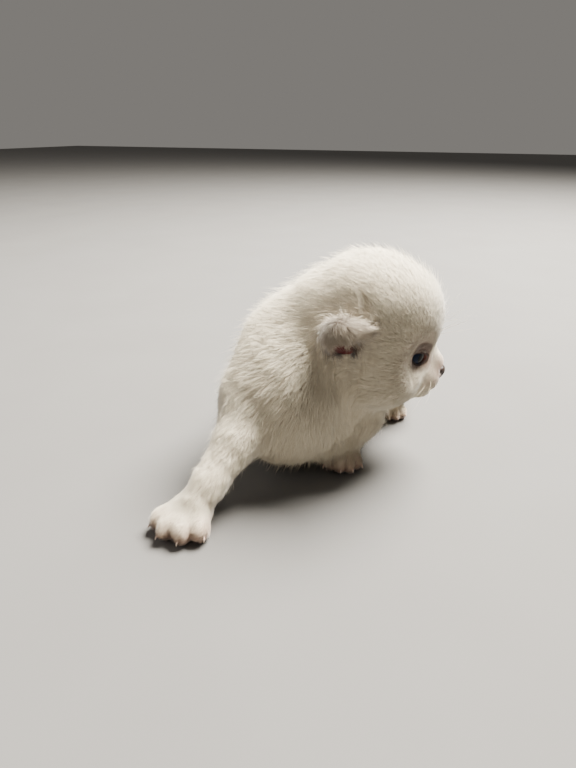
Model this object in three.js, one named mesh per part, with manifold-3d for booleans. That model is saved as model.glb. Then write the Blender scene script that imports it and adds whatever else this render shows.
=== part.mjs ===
// A life-size model of a Scottish Fold kitten, about four weeks old, caught in mid step with its head turned
// to its left.
// Millimetres, +Z up. The body lies along Y with the chest towards -Y, and the kitten's left side is +X.
// The surface of every solid is the outer surface of the coat, out to the tips of the fur.
import * as THREE from "three";
import { mergeVertices } from "three/addons/utils/BufferGeometryUtils.js";
import Module from "manifold-3d";

const wasm = await Module();
wasm.setup();

// Sizes
const GAP = 0.3; // between solids that touch
const TOUCHING_GAP = 0.02; // between two sheets of one surface
const EAR_GAP = 0.6; // under the ears, where the facets of the neck and back are coarse
const HEAD_REACH = 12; // how far back over the neck the head is parted
const EYE_RADIUS = 5.4;
const LID_THICKNESS = 0.9;
const TAIL_RADIUS = 7;

// Cell sizes of the faceted surfaces
const BODY_CELL = 6;
const SKULL_CELL = 4.8;
const FACE_CELL = 1.8;
const EAR_CELL = 1.35;
const NOSE_CELL = 1.1;
const LEG_CELL = 4.8;
const PAW_CELL = 2.3;
const TAIL_CELL = 4.6;
const PARTING_CELL = 6.5;

const V = (x, y, z) => new THREE.Vector3(x, y, z);
const radians = THREE.MathUtils.degToRad;

// Distance fields. A field is a function (x, y, z) => distance, negative inside.

// An ellipsoid at a centre, turned by an optional matrix.
function ellipsoid(centre, [a, b, c], turn = null) {
  const back = turn ? new THREE.Matrix3().setFromMatrix4(turn).transpose() : null;
  const q = new THREE.Vector3();
  return (x, y, z) => {
    q.set(x - centre.x, y - centre.y, z - centre.z);
    if (back) q.applyMatrix3(back);
    const k0 = Math.hypot(q.x / a, q.y / b, q.z / c);
    const k1 = Math.hypot(q.x / (a * a), q.y / (b * b), q.z / (c * c));
    return k1 < 1e-9 ? -Math.min(a, b, c) : (k0 * (k0 - 1)) / k1;
  };
}

const ball = (centre, radius) => ellipsoid(centre, [radius, radius, radius]);

// A bone: two balls and the cone that joins them.
function bone(p, q, rp, rq) {
  const ba = q.clone().sub(p);
  const l2 = ba.lengthSq();
  const rr = rp - rq;
  const a2 = l2 - rr * rr;
  const pa = new THREE.Vector3();
  const side = new THREE.Vector3();
  return (x, y, z) => {
    pa.set(x - p.x, y - p.y, z - p.z);
    const along = pa.dot(ba);
    const beyond = along - l2;
    side.copy(pa).multiplyScalar(l2).addScaledVector(ba, -along);
    const x2 = side.lengthSq();
    const y2 = along * along * l2;
    const z2 = beyond * beyond * l2;
    const k = Math.sign(rr) * rr * rr * x2;
    if (Math.sign(beyond) * a2 * z2 > k) return Math.sqrt(x2 + z2) / l2 - rq;
    if (Math.sign(along) * a2 * y2 < k) return Math.sqrt(x2 + y2) / l2 - rp;
    return (Math.sqrt((x2 * a2) / l2) + along * rr) / l2 - rp;
  };
}

// Bones along a list of [point, radius] pairs.
function limb(joints, softness) {
  const bones = joints.slice(1).map(([q, rq], i) => bone(joints[i][0], q, joints[i][1], rq));
  return blend(softness, ...bones);
}

// The same list with more pairs, along a smooth curve through its points.
function smoothed(joints, pieces) {
  const curve = new THREE.CatmullRomCurve3(joints.map(([point]) => point));
  return Array.from({ length: pieces + 1 }, (_, i) => {
    const t = (i / pieces) * (joints.length - 1);
    const j = Math.min(Math.floor(t), joints.length - 2);
    const radius = THREE.MathUtils.lerp(joints[j][1], joints[j + 1][1], t - j);
    return [curve.getPoint(i / pieces), radius];
  });
}

// Joined, or cut, with a rounded edge that is about k wide.
const soft = (a, b, k) => {
  const h = Math.max(k - Math.abs(a - b), 0) / k;
  return Math.min(a, b) - h * h * k * 0.25;
};
const blend = (k, ...fields) => (x, y, z) => {
  let d = fields[0](x, y, z);
  for (let i = 1; i < fields.length; i++) d = soft(d, fields[i](x, y, z), k);
  return d;
};
const carve = (k, field, tool) => (x, y, z) => -soft(-field(x, y, z), tool(x, y, z), k);

// A field given in a frame's own coordinates, placed by that frame's matrix.
function placed(field, frame) {
  const back = frame.clone().invert();
  const q = new THREE.Vector3();
  return (x, y, z) => {
    q.set(x, y, z).applyMatrix4(back);
    return field(q.x, q.y, q.z);
  };
}

// The frame of a part: its origin, its forward direction and its up direction.
function frameAt(origin, forward, up) {
  const f = forward.clone().normalize();
  const left = up.clone().cross(f).normalize();
  const u = f.clone().cross(left);
  return new THREE.Matrix4().makeBasis(f, left, u).setPosition(origin);
}

// Grid lines from low to high, even or closer together around a focus.
function even(low, high, cell) {
  const count = Math.ceil((high - low) / cell);
  return Array.from({ length: count + 1 }, (_, i) => low + i * cell);
}
function graded(low, high, coarse, fine, focus, width) {
  const lines = [low];
  while (lines[lines.length - 1] < high) {
    const away = Math.abs(lines[lines.length - 1] - focus);
    const step = THREE.MathUtils.lerp(fine, coarse, THREE.MathUtils.smoothstep(away, width, 2 * width));
    lines.push(lines[lines.length - 1] + step);
  }
  return lines;
}

// The surface of a field on a grid, as a closed mesh of quads split along their shorter diagonal.
function facets(field, grid) {
  const n = grid.map((lines) => lines.length);
  const at = (i, j, k) => i + n[0] * (j + n[1] * k);
  const value = new Float32Array(n[0] * n[1] * n[2]);
  for (let k = 0; k < n[2]; k++)
    for (let j = 0; j < n[1]; j++)
      for (let i = 0; i < n[0]; i++) {
        const edge = [i, j, k].some((a, axis) => a === 0 || a === n[axis] - 1);
        const d = field(grid[0][i], grid[1][j], grid[2][k]);
        value[at(i, j, k)] = edge ? Math.max(d, 1) : d || 1e-6;
      }
  const corners = [...Array(8).keys()].map((c) => [c & 1, (c >> 1) & 1, c >> 2]);
  const edges = [];
  for (let a = 0; a < 8; a++) for (const bit of [1, 2, 4]) if (!(a & bit)) edges.push([a, a | bit]);
  const vertexOf = new Map();
  const points = [];
  for (let k = 0; k < n[2] - 1; k++)
    for (let j = 0; j < n[1] - 1; j++)
      for (let i = 0; i < n[0] - 1; i++) {
        const d = corners.map(([a, b, c]) => value[at(i + a, j + b, k + c)]);
        const sum = V(0, 0, 0);
        let count = 0;
        for (const [a, b] of edges) {
          if (d[a] < 0 === d[b] < 0) continue;
          sum.add(V(...corners[a]).lerp(V(...corners[b]), d[a] / (d[a] - d[b])));
          count++;
        }
        if (!count) continue;
        const within = sum.divideScalar(count);
        const cell = [i, j, k].map((a, axis) => [grid[axis][a], grid[axis][a + 1]]);
        const p = V(...cell.map(([low, high], axis) => low + (high - low) * within.getComponent(axis)));
        const inside = [i, j, k].every((a, axis) => a > 0 && a < n[axis] - 2);
        const size = Math.min(...cell.map(([low, high]) => high - low));
        vertexOf.set(at(i, j, k), points.length);
        points.push(inside ? onto(field, p, size / 2) : p);
      }
  const triangles = [];
  const quad = (a, b, c, d) => {
    const short = points[a].distanceToSquared(points[c]) < points[b].distanceToSquared(points[d]);
    if (short) triangles.push(a, b, c, a, c, d);
    else triangles.push(a, b, d, b, c, d);
  };
  const steps = [1, n[0], n[0] * n[1]];
  for (let k = 0; k < n[2] - 1; k++)
    for (let j = 0; j < n[1] - 1; j++)
      for (let i = 0; i < n[0] - 1; i++)
        for (let axis = 0; axis < 3; axis++) {
          const here = at(i, j, k);
          const inside = value[here] < 0;
          if (inside === value[here + steps[axis]] < 0) continue;
          const u = steps[(axis + 1) % 3];
          const v = steps[(axis + 2) % 3];
          const ring = [here - u - v, here - v, here, here - u].map((c) => vertexOf.get(c));
          if (inside) quad(...ring);
          else quad(...ring.reverse());
        }
  const geometry = new THREE.BufferGeometry().setFromPoints(points);
  geometry.setIndex(triangles);
  return geometry;
}

// The slope of a field at a point.
function slope(field, p) {
  const e = 0.05;
  const dx = field(p.x + e, p.y, p.z) - field(p.x - e, p.y, p.z);
  const dy = field(p.x, p.y + e, p.z) - field(p.x, p.y - e, p.z);
  const dz = field(p.x, p.y, p.z + e) - field(p.x, p.y, p.z - e);
  return V(dx, dy, dz).divideScalar(2 * e);
}

// A point moved onto the surface of a field, by at most a given distance.
function onto(field, p, most) {
  const g = slope(field, p);
  const size = g.length();
  if (size < 0.2) return p;
  const step = THREE.MathUtils.clamp(field(p.x, p.y, p.z) / size, -most, most);
  return p.addScaledVector(g, -step / size);
}

// The surface of a field inside a box, with even cells.
function surface(field, low, high, cell) {
  return facets(field, ["x", "y", "z"].map((axis) => even(low[axis], high[axis], cell)));
}

const pointOf = (attribute, i) => new THREE.Vector3().fromBufferAttribute(attribute, i);

// A closed tube along points on a surface.
function cord(points, radius, sides = 6) {
  const curve = new THREE.CatmullRomCurve3(points);
  const tube = new THREE.TubeGeometry(curve, 3 * (points.length - 1), radius, sides, false);
  const position = tube.getAttribute("position");
  const rings = position.count / (sides + 1);
  const loops = [];
  for (let r = 0; r < rings; r++)
    for (let i = 0; i < sides; i++) loops.push(pointOf(position, r * (sides + 1) + i));
  loops.push(points[0].clone(), points[points.length - 1].clone());
  const ends = [loops.length - 2, loops.length - 1];
  const triangles = [];
  for (let i = 0; i < sides; i++) {
    const next = (i + 1) % sides;
    for (let r = 0; r < rings - 1; r++) {
      const [a, b, c, d] = [r * sides + i, r * sides + next, (r + 1) * sides + next, (r + 1) * sides + i];
      triangles.push(a, b, c, a, c, d);
    }
    triangles.push(ends[0], next, i, ends[1], (rings - 1) * sides + i, (rings - 1) * sides + next);
  }
  const geometry = new THREE.BufferGeometry().setFromPoints(loops);
  geometry.setIndex(triangles);
  return geometry;
}

// Closed geometry to a solid and back.
function solid(geometry) {
  const bare = geometry.clone();
  bare.deleteAttribute("normal");
  bare.deleteAttribute("uv");
  const merged = mergeVertices(bare, 1e-4);
  const vertProperties = merged.getAttribute("position").array;
  const triVerts = new Uint32Array(merged.index.array);
  return new wasm.Manifold(new wasm.Mesh({ numProp: 3, vertProperties, triVerts }));
}

// A mirrored mesh has its faces turned over.
function turnedOut(geometry, side) {
  if (side < 0) geometry.setIndex([...geometry.index.array].reverse());
  return geometry;
}

function boxOf(made) {
  const { min, max } = made.boundingBox();
  return [V(...min), V(...max)];
}

function geometryOf(made) {
  const mesh = made.getMesh();
  const position = new Float32Array(mesh.numVert * 3);
  for (let i = 0; i < mesh.numVert; i++)
    position.set(mesh.vertProperties.subarray(i * mesh.numProp, i * mesh.numProp + 3), i * 3);
  const geometry = new THREE.BufferGeometry();
  geometry.setAttribute("position", new THREE.BufferAttribute(position, 3));
  geometry.setIndex(new THREE.BufferAttribute(new Uint32Array(mesh.triVerts), 1));
  geometry.computeVertexNormals();
  partTouching(geometry);
  return geometry;
}

// Where two sheets of a surface meet in one point, each is drawn back a little on its own side.
function partTouching(geometry) {
  const position = geometry.getAttribute("position");
  const normal = geometry.getAttribute("normal");
  const at = new Map();
  for (let i = 0; i < position.count; i++) {
    const key = [position.getX(i), position.getY(i), position.getZ(i)].join();
    at.set(key, [...(at.get(key) ?? []), i]);
  }
  for (const shared of at.values()) {
    if (shared.length < 2) continue;
    for (const i of shared) {
      const p = pointOf(position, i).addScaledVector(pointOf(normal, i), -TOUCHING_GAP);
      position.setXYZ(i, p.x, p.y, p.z);
    }
  }
}

const largest = (made) => made.decompose().reduce((a, b) => (a.volume() > b.volume() ? a : b));

// Regions. A region is a function of how much it is grown, which gives its solid.

// Everything beyond a cut that is square to a direction.
function beyond(point, direction, length, halfWidth) {
  const frame = frameAt(point, direction, Math.abs(direction.z) > 0.9 ? V(0, 1, 0) : V(0, 0, 1));
  return (grow) => {
    const box = new THREE.BoxGeometry(length + 2 * grow, 2 * halfWidth, 2 * halfWidth);
    return solid(box.translate(length / 2, 0, 0).applyMatrix4(frame));
  };
}

// A ball, stretched and placed by a frame.
function around(frame, centre, radii, sides = 26) {
  return (grow) => {
    const round = new THREE.SphereGeometry(1, sides, Math.round(sides * 0.66));
    round.scale(radii[0] + grow, radii[1] + grow, radii[2] + grow);
    return solid(round.translate(centre.x, centre.y, centre.z).applyMatrix4(frame));
  };
}

// The side of one field, parted from others along the crease between them.
function sideOf(field, others, [low, high], cell) {
  const between = (x, y, z) => field(x, y, z) - Math.min(...others.map((other) => other(x, y, z)));
  const geometry = surface(between, low, high, cell);
  geometry.computeVertexNormals();
  return (grow) => {
    const moved = geometry.clone();
    const position = moved.getAttribute("position");
    const normal = moved.getAttribute("normal");
    for (let i = 0; i < position.count; i++) {
      position.setX(i, position.getX(i) + grow * normal.getX(i));
      position.setY(i, position.getY(i) + grow * normal.getY(i));
      position.setZ(i, position.getZ(i) + grow * normal.getZ(i));
    }
    return solid(moved);
  };
}

// Head, in its own frame: x forward through the nose, y to the kitten's left, z up.
const HEAD_CENTRE = V(28, 22, 58);
const HEAD_YAW = radians(15); // from straight to the left, further towards the back
const HEAD_NOD = radians(15);
const headForward = V(
  Math.cos(HEAD_YAW) * Math.cos(HEAD_NOD),
  Math.sin(HEAD_YAW) * Math.cos(HEAD_NOD),
  -Math.sin(HEAD_NOD),
);
const headFrame = frameAt(HEAD_CENTRE, headForward, V(0, 0, 1));
const EYE_CENTRE = V(17.1, 9.6, -5.2); // the left eye; the right one mirrors it
const GAZE = V(0.74, 0.67, 0.05).normalize();
const SLIT_FACING = V(0.66, 0.74, 0.1).normalize();
const SLIT = [4, 5.4, 3.8]; // half sizes of the opening between the lids: deep, wide, high
const NOSE_TIP = V(33.3, 0, -12.3);
const NOSTRIL = [1.4, 0.65, 0.95]; // half sizes: deep, wide, high
const PHILTRUM = [V(33.2, 0, -14), V(33, 0, -16), V(32.2, 0, -17.9)];
const LIP_GROOVES = [0.65, 0.38]; // radii of the line of the mouth and of the line under the nose
const MOUTH = [V(32.4, 0, -17.9), V(31, 3, -18.6), V(28.4, 5.4, -19.2), V(25, 7.2, -19)];
const SIDES = [
  ["left", 1],
  ["right", -1],
];
const onSide = (p, s) => V(p.x, p.y * s, p.z);

function headField() {
  const cranium = ellipsoid(V(-2, 0, 3), [26.5, 28.8, 25]);
  const forehead = ellipsoid(V(10.5, 0, 7), [15, 20, 15.5]);
  const cheeks = SIDES.map(([, s]) => ellipsoid(V(9.5, 14.6 * s, -14), [14.5, 12.8, 16]));
  const jaw = ellipsoid(V(11.5, 0, -19), [17.5, 16, 12.5]);
  const skull = blend(7, cranium, forehead, ...cheeks, jaw);
  const hollows = SIDES.map(([, s]) => {
    const front = EYE_CENTRE.clone().addScaledVector(GAZE, 10.4);
    return ellipsoid(onSide(front, s), [5, 6, 4.8]);
  });
  const hollowed = hollows.reduce((field, hollow) => carve(3.5, field, hollow), skull);
  const lids = SIDES.map(([, s]) => ball(onSide(EYE_CENTRE, s), EYE_RADIUS + GAP + LID_THICKNESS));
  const bridge = bone(V(19.5, 0, -3.6), V(NOSE_TIP.x - 5, 0, NOSE_TIP.z + 2.7), 5.6, 4.6);
  const snout = ellipsoid(V(22.5, 0, -14), [9, 9.8, 9]);
  const pads = SIDES.map(([, s]) => ellipsoid(V(27.2, 4.3 * s, -15.4), [5.4, 5.2, 4.8]));
  const chin = ellipsoid(V(25.4, 0, -21.6), [6.4, 5.8, 4.8]);
  const muzzle = blend(3, bridge, snout, ...pads);
  return blend(1.6, blend(4, blend(1.6, hollowed, ...lids), muzzle), chin);
}

function noseField() {
  const top = ellipsoid(V(NOSE_TIP.x - 1.5, 0, NOSE_TIP.z + 0.9), [2, 3.1, 1.8]);
  const foot = ellipsoid(V(NOSE_TIP.x - 1.6, 0, NOSE_TIP.z - 1.1), [1.9, 1.6, 1.7]);
  return blend(1.5, top, foot);
}

// Ears. Each is a cup at the side of the head whose upper edge folds over forwards. In its own frame, x runs
// along the fold to the tip, y away from the head and z up across the ear.
const EAR_ROOT = V(-7.7, 28.4, 0.6); // the left ear; the right one mirrors it
const EAR_TILT = radians(28);
const FLAP_TIP = V(10.6, 1.9, 1.4);

function earField() {
  const cup = ellipsoid(V(-3, 0.8, 0.2), [7, 5.8, 7.2]);
  const flap = bone(V(-1.5, 2.2, 2.8), FLAP_TIP, 4.2, 1.3);
  const opening = ellipsoid(V(-4.4, 4.5, -4), [3.7, 3.5, 3.9]);
  const hollow = ellipsoid(V(-1.6, 3.2, -0.9), [5, 2.2, 3.4]);
  const underFlap = bone(V(0.5, 3.2, -3.2), V(9, 1.6, -1.4), 1.5, 1);
  return carve(0.6, blend(2.5, cup, flap), blend(0.6, opening, hollow, underFlap));
}
const earFrame = new THREE.Matrix4().makeRotationY(-EAR_TILT).setPosition(EAR_ROOT);

// Legs, each as joints from the body to the wrist or ankle, then a paw on the floor.
const LEGS = {
  foreleg_right: {
    joints: [
      [V(-4, 3, 35), 14],
      [V(-7.3, -15, 31), 13.4],
      [V(-5.2, -34, 23), 9.2],
      [V(-7.4, -50, 14), 6.4],
      [V(-8.6, -56, 10), 5.8],
    ],
    paw: { heel: V(-12, -51.5, 0), heading: V(0.06, -1, 0), size: 1.04, spread: 19 },
    box: [V(-36, -82, -4), V(22, 6, 52)],
  },
  foreleg_left: {
    joints: [
      [V(14, 6, 36), 13],
      [V(26, 18, 17), 9.8],
      [V(22.5, 9, 8), 6.8],
    ],
    paw: { heel: V(20, 9, 0), heading: V(0.5, -0.86, 0), size: 0.88, spread: 14 },
    box: [V(2, -18, -4), V(46, 40, 44)],
  },
  hindleg_right: {
    joints: [
      [V(-9, 77, 30), 18],
      [V(-22, 60, 20), 13],
      [V(-21, 84, 8.5), 7.4],
      [V(-25, 75, 6.5), 6.2],
    ],
    paw: { heel: V(-26.5, 71, 0), heading: V(-0.35, -0.93, 0), size: 0.82, spread: 14 },
    box: [V(-46, 40, -4), V(6, 106, 56)],
  },
  hindleg_left: {
    joints: [
      [V(19, 76, 30), 17.5],
      [V(28, 57, 20), 12.5],
      [V(21, 79, 8.5), 7.4],
      [V(25.5, 69, 6.5), 6.2],
    ],
    paw: { heel: V(26.6, 61, 0), heading: V(0.46, -0.89, 0), size: 0.8, spread: 14 },
    box: [V(6, 36, -4), V(54, 106, 56)],
  },
};

function pawField({ size, spread }) {
  const palm = ellipsoid(V(6 * size, 0, 5 * size), [9.5 * size, 7.6 * size, 5.8 * size]);
  const toes = [-1.5, -0.5, 0.5, 1.5].map((i) => {
    const angle = radians(i * spread);
    const reach = (i === 1.5 || i === -1.5 ? 12.4 : 14.2) * size;
    const turn = new THREE.Matrix4().makeRotationZ(angle);
    const centre = V(reach * Math.cos(angle), reach * Math.sin(angle) * 1.15, 4 * size);
    return ellipsoid(centre, [5.4 * size, 3.7 * size, 4.6 * size], turn);
  });
  return blend(3, palm, blend(1.4, ...toes));
}

// The tail lies back on the floor.
const TAIL = [
  [V(6, 92, 27), 9],
  [V(6, 105, 18), TAIL_RADIUS + 0.6],
  [V(4, 118, 9), TAIL_RADIUS],
  [V(-2, 131, 5.6), TAIL_RADIUS - 1],
  [V(-13, 141, 4.4), TAIL_RADIUS - 2.2],
  [V(-25, 145, 3.4), TAIL_RADIUS - 3.6],
];

// Trunk
function trunkField() {
  const chest = ellipsoid(V(1.6, -3.5, 30.3), [25.2, 26.6, 29.6]);
  const withers = ellipsoid(V(0, 12, 48), [17.5, 18, 18]);
  const belly = ellipsoid(V(3, 44, 34), [26.5, 36, 29.5]);
  const underside = ellipsoid(V(6, 27, 18.5), [27.5, 38, 17.2]);
  const rump = ellipsoid(V(5, 75, 32), [25, 26, 28]);
  return blend(9, chest, withers, belly, underside, rump);
}
const NECK = [
  [V(0.4, 8, 45.4), 23.4],
  [V(11, 14, 53.4), 23.6],
  [V(26, 22, 57), 22],
];

const head = placed(headField(), headFrame);
const limbs = {};
const paws = {};
const legs = {};
for (const [name, { joints, paw }] of Object.entries(LEGS)) {
  limbs[name] = limb(joints, 2.5);
  paws[name] = placed(pawField(paw), frameAt(paw.heel, paw.heading, V(0, 0, 1)));
  legs[name] = blend(4, limbs[name], paws[name]);
}
const tail = limb(smoothed(TAIL, 10), 1);
const neck = limb(NECK, 3);
const torso = trunkField();
const trunk = blend(8, torso, neck, tail);
const body = Object.values(legs).reduce((made, leg) => blend(7, made, leg), trunk);
const whole = blend(7, body, head);

// The body, faceted finely or coarsely, and cut off flat at the floor
const BODY_BOX = [V(-48, -86, -6), V(80, 154, 98)];
const underFloor = beyond(V(0, 0, 0), V(0, 0, -1), 40, 300);
function skinOf([low, high], cell) {
  return solid(surface(whole, low, high, cell)).subtract(underFloor(0));
}

// Where it is parted
const upperNeck = bone(V(7, 12.5, 51.5), V(16, 17.5, 55.5), 23, 20);
const behindHead = (x, y, z) => upperNeck(x, y, z) + HEAD_REACH;
const headBox = [V(-12, -22, 14), V(80, 66, 100)];
const headSide = sideOf(head, [torso, ...Object.values(legs), behindHead], headBox, PARTING_CELL);
const neckBox = [V(-32, -26, 14), V(70, 66, 98)];
const neckSide = sideOf(upperNeck, [torso, ...Object.values(legs)], neckBox, PARTING_CELL);
const tailBox = [V(-40, 84, -6), V(26, 156, 48)];
const tailSide = sideOf(tail, [torso, legs.hindleg_left, legs.hindleg_right], tailBox, PARTING_CELL);
const legSides = {};
const pawSides = {};
for (const [name, { box, paw }] of Object.entries(LEGS)) {
  const rest = Object.keys(LEGS).filter((other) => other !== name);
  const beside = [torso, neck, head, tail, ...rest.map((other) => legs[other])];
  legSides[name] = sideOf(legs[name], beside, box, PARTING_CELL);
  const reach = V(30, 30, 26).multiplyScalar(paw.size);
  paw.box = [paw.heel.clone().sub(reach).setZ(-6), paw.heel.clone().add(reach)];
  pawSides[name] = sideOf(paws[name], [limbs[name], torso], paw.box, LEG_CELL);
}

// Solids
const group = new THREE.Group();
const COAT = { color: 0xf2ede0, roughness: 0.95, metalness: 0 };
const EAR_COAT = { color: 0xd8cdc2, roughness: 0.95, metalness: 0 };
const NOSE_SKIN = { color: 0x3b2b29, roughness: 0.5, metalness: 0 };
const EYE = { color: 0x141720, roughness: 0.05, metalness: 0 };

function add(name, made, look = COAT) {
  const mesh = new THREE.Mesh(geometryOf(largest(made)), new THREE.MeshStandardMaterial(look));
  mesh.name = name;
  group.add(mesh);
}

const bodySkin = skinOf(BODY_BOX, BODY_CELL);

// The head is faceted finely around the muzzle and eyes, on a grid square to its own frame.
const inHead = (x, y, z) => {
  const p = V(x, y, z).applyMatrix4(headFrame);
  return whole(p.x, p.y, p.z);
};
const headGrid = [
  graded(-36, 42, SKULL_CELL, FACE_CELL, 27, 8),
  graded(-36, 36, SKULL_CELL, FACE_CELL, 0, 10),
  graded(-42, 36, SKULL_CELL, FACE_CELL, -13, 8),
];
const headSkin = solid(facets(inHead, headGrid).applyMatrix4(headFrame));
const eyeRadii = [EYE_RADIUS, EYE_RADIUS, EYE_RADIUS];
const sockets = SIDES.map(([, s]) => around(headFrame, onSide(EYE_CENTRE, s), eyeRadii, 18));
const slits = SIDES.map(([, s]) => {
  const front = onSide(EYE_CENTRE.clone().addScaledVector(SLIT_FACING, EYE_RADIUS), s);
  const slit = frameAt(front, onSide(SLIT_FACING, s), V(0, 0, 1));
  return around(headFrame.clone().multiply(slit), V(0, 0, 0), SLIT, 16)(0);
});
const noseBox = [NOSE_TIP.clone().addScalar(-6), NOSE_TIP.clone().addScalar(6)];
const nose = surface(noseField(), ...noseBox, NOSE_CELL).applyMatrix4(headFrame);
const noseRoom = around(headFrame, V(NOSE_TIP.x - 1.5, 0, NOSE_TIP.z), [2.6, 3.7, 3.4], 14);
const nostrils = SIDES.map(([, s]) => {
  const mouth = NOSE_TIP.clone().add(V(0.1, 1.75 * s, 0.2));
  const turned = frameAt(mouth, V(1, 0.5 * s, -0.3), V(0, 0.5 * s, 1));
  return around(headFrame.clone().multiply(turned), V(0, 0, 0), NOSTRIL, 8)(0);
});
const leftLip = MOUTH.slice(1).reverse();
const mouthLine = [...leftLip, ...MOUTH.map((p) => onSide(p, -1))];
const grooves = [mouthLine, PHILTRUM].map((line, i) => {
  const lying = line.map((p) => onto(inHead, p.clone(), 4));
  return solid(cord(lying, LIP_GROOVES[i]).applyMatrix4(headFrame));
});
const cuts = [...sockets.map((socket) => socket(GAP)), ...slits, ...grooves, noseRoom(0)];
add("head", cuts.reduce((made, cut) => made.subtract(cut), headSkin.intersect(headSide(0))));
add("nose", nostrils.reduce((made, cut) => made.subtract(cut), solid(nose)), NOSE_SKIN);

SIDES.forEach(([side, s], i) => {
  add(`eye_${side}`, sockets[i](0), EYE);
  const mirror = new THREE.Matrix4().makeScale(1, s, 1);
  const back = headFrame.clone().multiply(mirror).multiply(earFrame);
  const box = [V(-13, -6, -10), V(15, 9, 10)];
  const ear = solid(turnedOut(surface(earField(), ...box, EAR_CELL).applyMatrix4(back), s));
  const [low, high] = boxOf(ear);
  const nearHead = (x, y, z) => whole(x, y, z) - EAR_GAP;
  const near = surface(nearHead, low.subScalar(5), high.addScalar(5), 2 * EAR_CELL);
  add(`ear_${side}`, ear.subtract(solid(near)), EAR_COAT);
});

const minus = (made, regions) => regions.reduce((left, region) => left.subtract(region(GAP)), made);
const taken = [headSide];
for (const [name, { box, paw }] of Object.entries(LEGS)) {
  const legOnly = (made) => minus(made.intersect(legSides[name](0)), taken);
  add(name, minus(legOnly(skinOf(box, LEG_CELL)), [pawSides[name]]));
  add(name.replace("leg", "paw"), legOnly(skinOf(paw.box, PAW_CELL)).intersect(pawSides[name](0)));
  taken.push(legSides[name]);
}
add("tail", minus(skinOf(tailBox, TAIL_CELL).intersect(tailSide(0)), taken));
taken.push(tailSide);
add("neck", minus(bodySkin.intersect(neckSide(0)), taken));
add("torso", minus(bodySkin, [...taken, neckSide]));

const bounds = new THREE.Box3().setFromObject(group);
const middle = bounds.getCenter(V(0, 0, 0));
group.position.set(-middle.x, -middle.y, -bounds.min.z);
group.updateMatrixWorld(true);

export default group;
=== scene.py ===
"""A life-size Scottish Fold kitten of about four weeks: skin, a coat of mesh tufts, eyes, nose, claws."""
import math

import bmesh
import bpy
import numpy as np
from mathutils import Matrix, Vector
from mathutils.bvhtree import BVHTree
from mathutils.kdtree import KDTree


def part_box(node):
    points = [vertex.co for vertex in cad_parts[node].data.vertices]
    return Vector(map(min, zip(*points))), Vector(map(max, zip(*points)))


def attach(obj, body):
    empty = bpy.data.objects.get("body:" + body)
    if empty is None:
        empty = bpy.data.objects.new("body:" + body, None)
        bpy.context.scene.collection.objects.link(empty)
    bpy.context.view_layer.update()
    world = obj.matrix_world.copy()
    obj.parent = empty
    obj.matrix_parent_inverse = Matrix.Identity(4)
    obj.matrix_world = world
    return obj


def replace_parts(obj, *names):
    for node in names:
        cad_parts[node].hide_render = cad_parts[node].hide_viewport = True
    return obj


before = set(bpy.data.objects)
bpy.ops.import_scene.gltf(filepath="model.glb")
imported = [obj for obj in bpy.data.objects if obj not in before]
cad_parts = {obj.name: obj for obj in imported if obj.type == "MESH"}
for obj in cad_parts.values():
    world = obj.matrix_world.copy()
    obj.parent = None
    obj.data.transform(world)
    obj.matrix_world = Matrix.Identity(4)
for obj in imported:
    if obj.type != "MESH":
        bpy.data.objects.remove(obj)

bl_info = {
    "name": "Scottish Fold Kitten",
    "version": (1, 0, 0),
    "blender": (4, 5, 0),
    "location": "3D View > Sidebar > Kitten",
    "description": "Skin, coat and face of a young Scottish Fold kitten over its solids",
    "category": "Object",
}

MM = 0.001

# Legs and paws, and everything else that the skin covers
SIDES = {"left": 1, "right": -1}
LEGS = ("foreleg_right", "foreleg_left", "hindleg_right", "hindleg_left")
PAWS = tuple(leg.replace("leg", "paw") for leg in LEGS)
EARS = ("ear_left", "ear_right")
FLESH = ("head", "neck", "torso", "tail") + EARS + LEGS + PAWS

# The way each paw points, and its toes
PAW_HEADINGS = {
    "forepaw_right": (-0.17, -0.98, 0),
    "forepaw_left": (0.5, -0.86, 0),
    "hindpaw_right": (-0.35, -0.93, 0),
    "hindpaw_left": (0.46, -0.89, 0),
}
TOE_HEIGHT = 3.4 * MM
TOE_LENGTH = 5 * MM
TOE_GROOVE = 0.8 * MM

# Head, in mm in its own frame: x forward through the nose, y to the kitten's left, z up
HEAD_NOD = math.radians(15)
EYE_PLACE = (17.1, 9.6, -5.2)
EYE_RADIUS = 5.4
EYE_FACING = (0.66, 0.74, 0.1)  # the way that the lids open
EYE_CORNER = (23, 7.6, -7)  # the inner corner of the lids
EYE_SHADE = (0, 0, 1.2)  # the middle of the dusk round the eye, from the front of the eye
BROW = (0.5, 0, 4.5)  # the middle of the dusky brow, from the same place
GAZE = (0.84, 0.54, 0.06)  # the way that the eye looks
OPENING = (50, 37, 18, 29)  # of the lids, in degrees: to the inner and the outer corner, up and down
OPENING_FULLNESS = (2.1, 1.75)  # of its upper and its lower edge, where 2 is an ellipse
OPENING_TILT = math.radians(2)  # how far the corner by the nose lies lower
SOCKET_DEPTH = (12, 20)  # from the middle of the eye, over which its socket passes into the head
SOCKET_WIDTH = (math.radians(30), math.radians(64))  # round the eye, over which it passes into the face
EAR_PLACE = (-7.7, 28.4, 0.6)
EAR_TILT = math.radians(28)
EAR_OPENING = (-3.4, 3.4, -3.0)  # in the ear's own frame
EAR_BLUNT = (5.0, 0.5)  # beyond how far along the ear its skin is shortened, and to what share
NOSE_TIP = (33.3, 0, -12.3)
MOUTH_LINE = ((32.6, 0, -17.4), (32, 1.8, -18.7), (30.6, 4, -19.4), (28, 6.4, -19.2), (24.6, 8.4, -17.8))
UNDER_NOSE = ((33.4, 0, -14.4), (33.1, 0, -16), (32.6, 0, -17.4))

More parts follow.
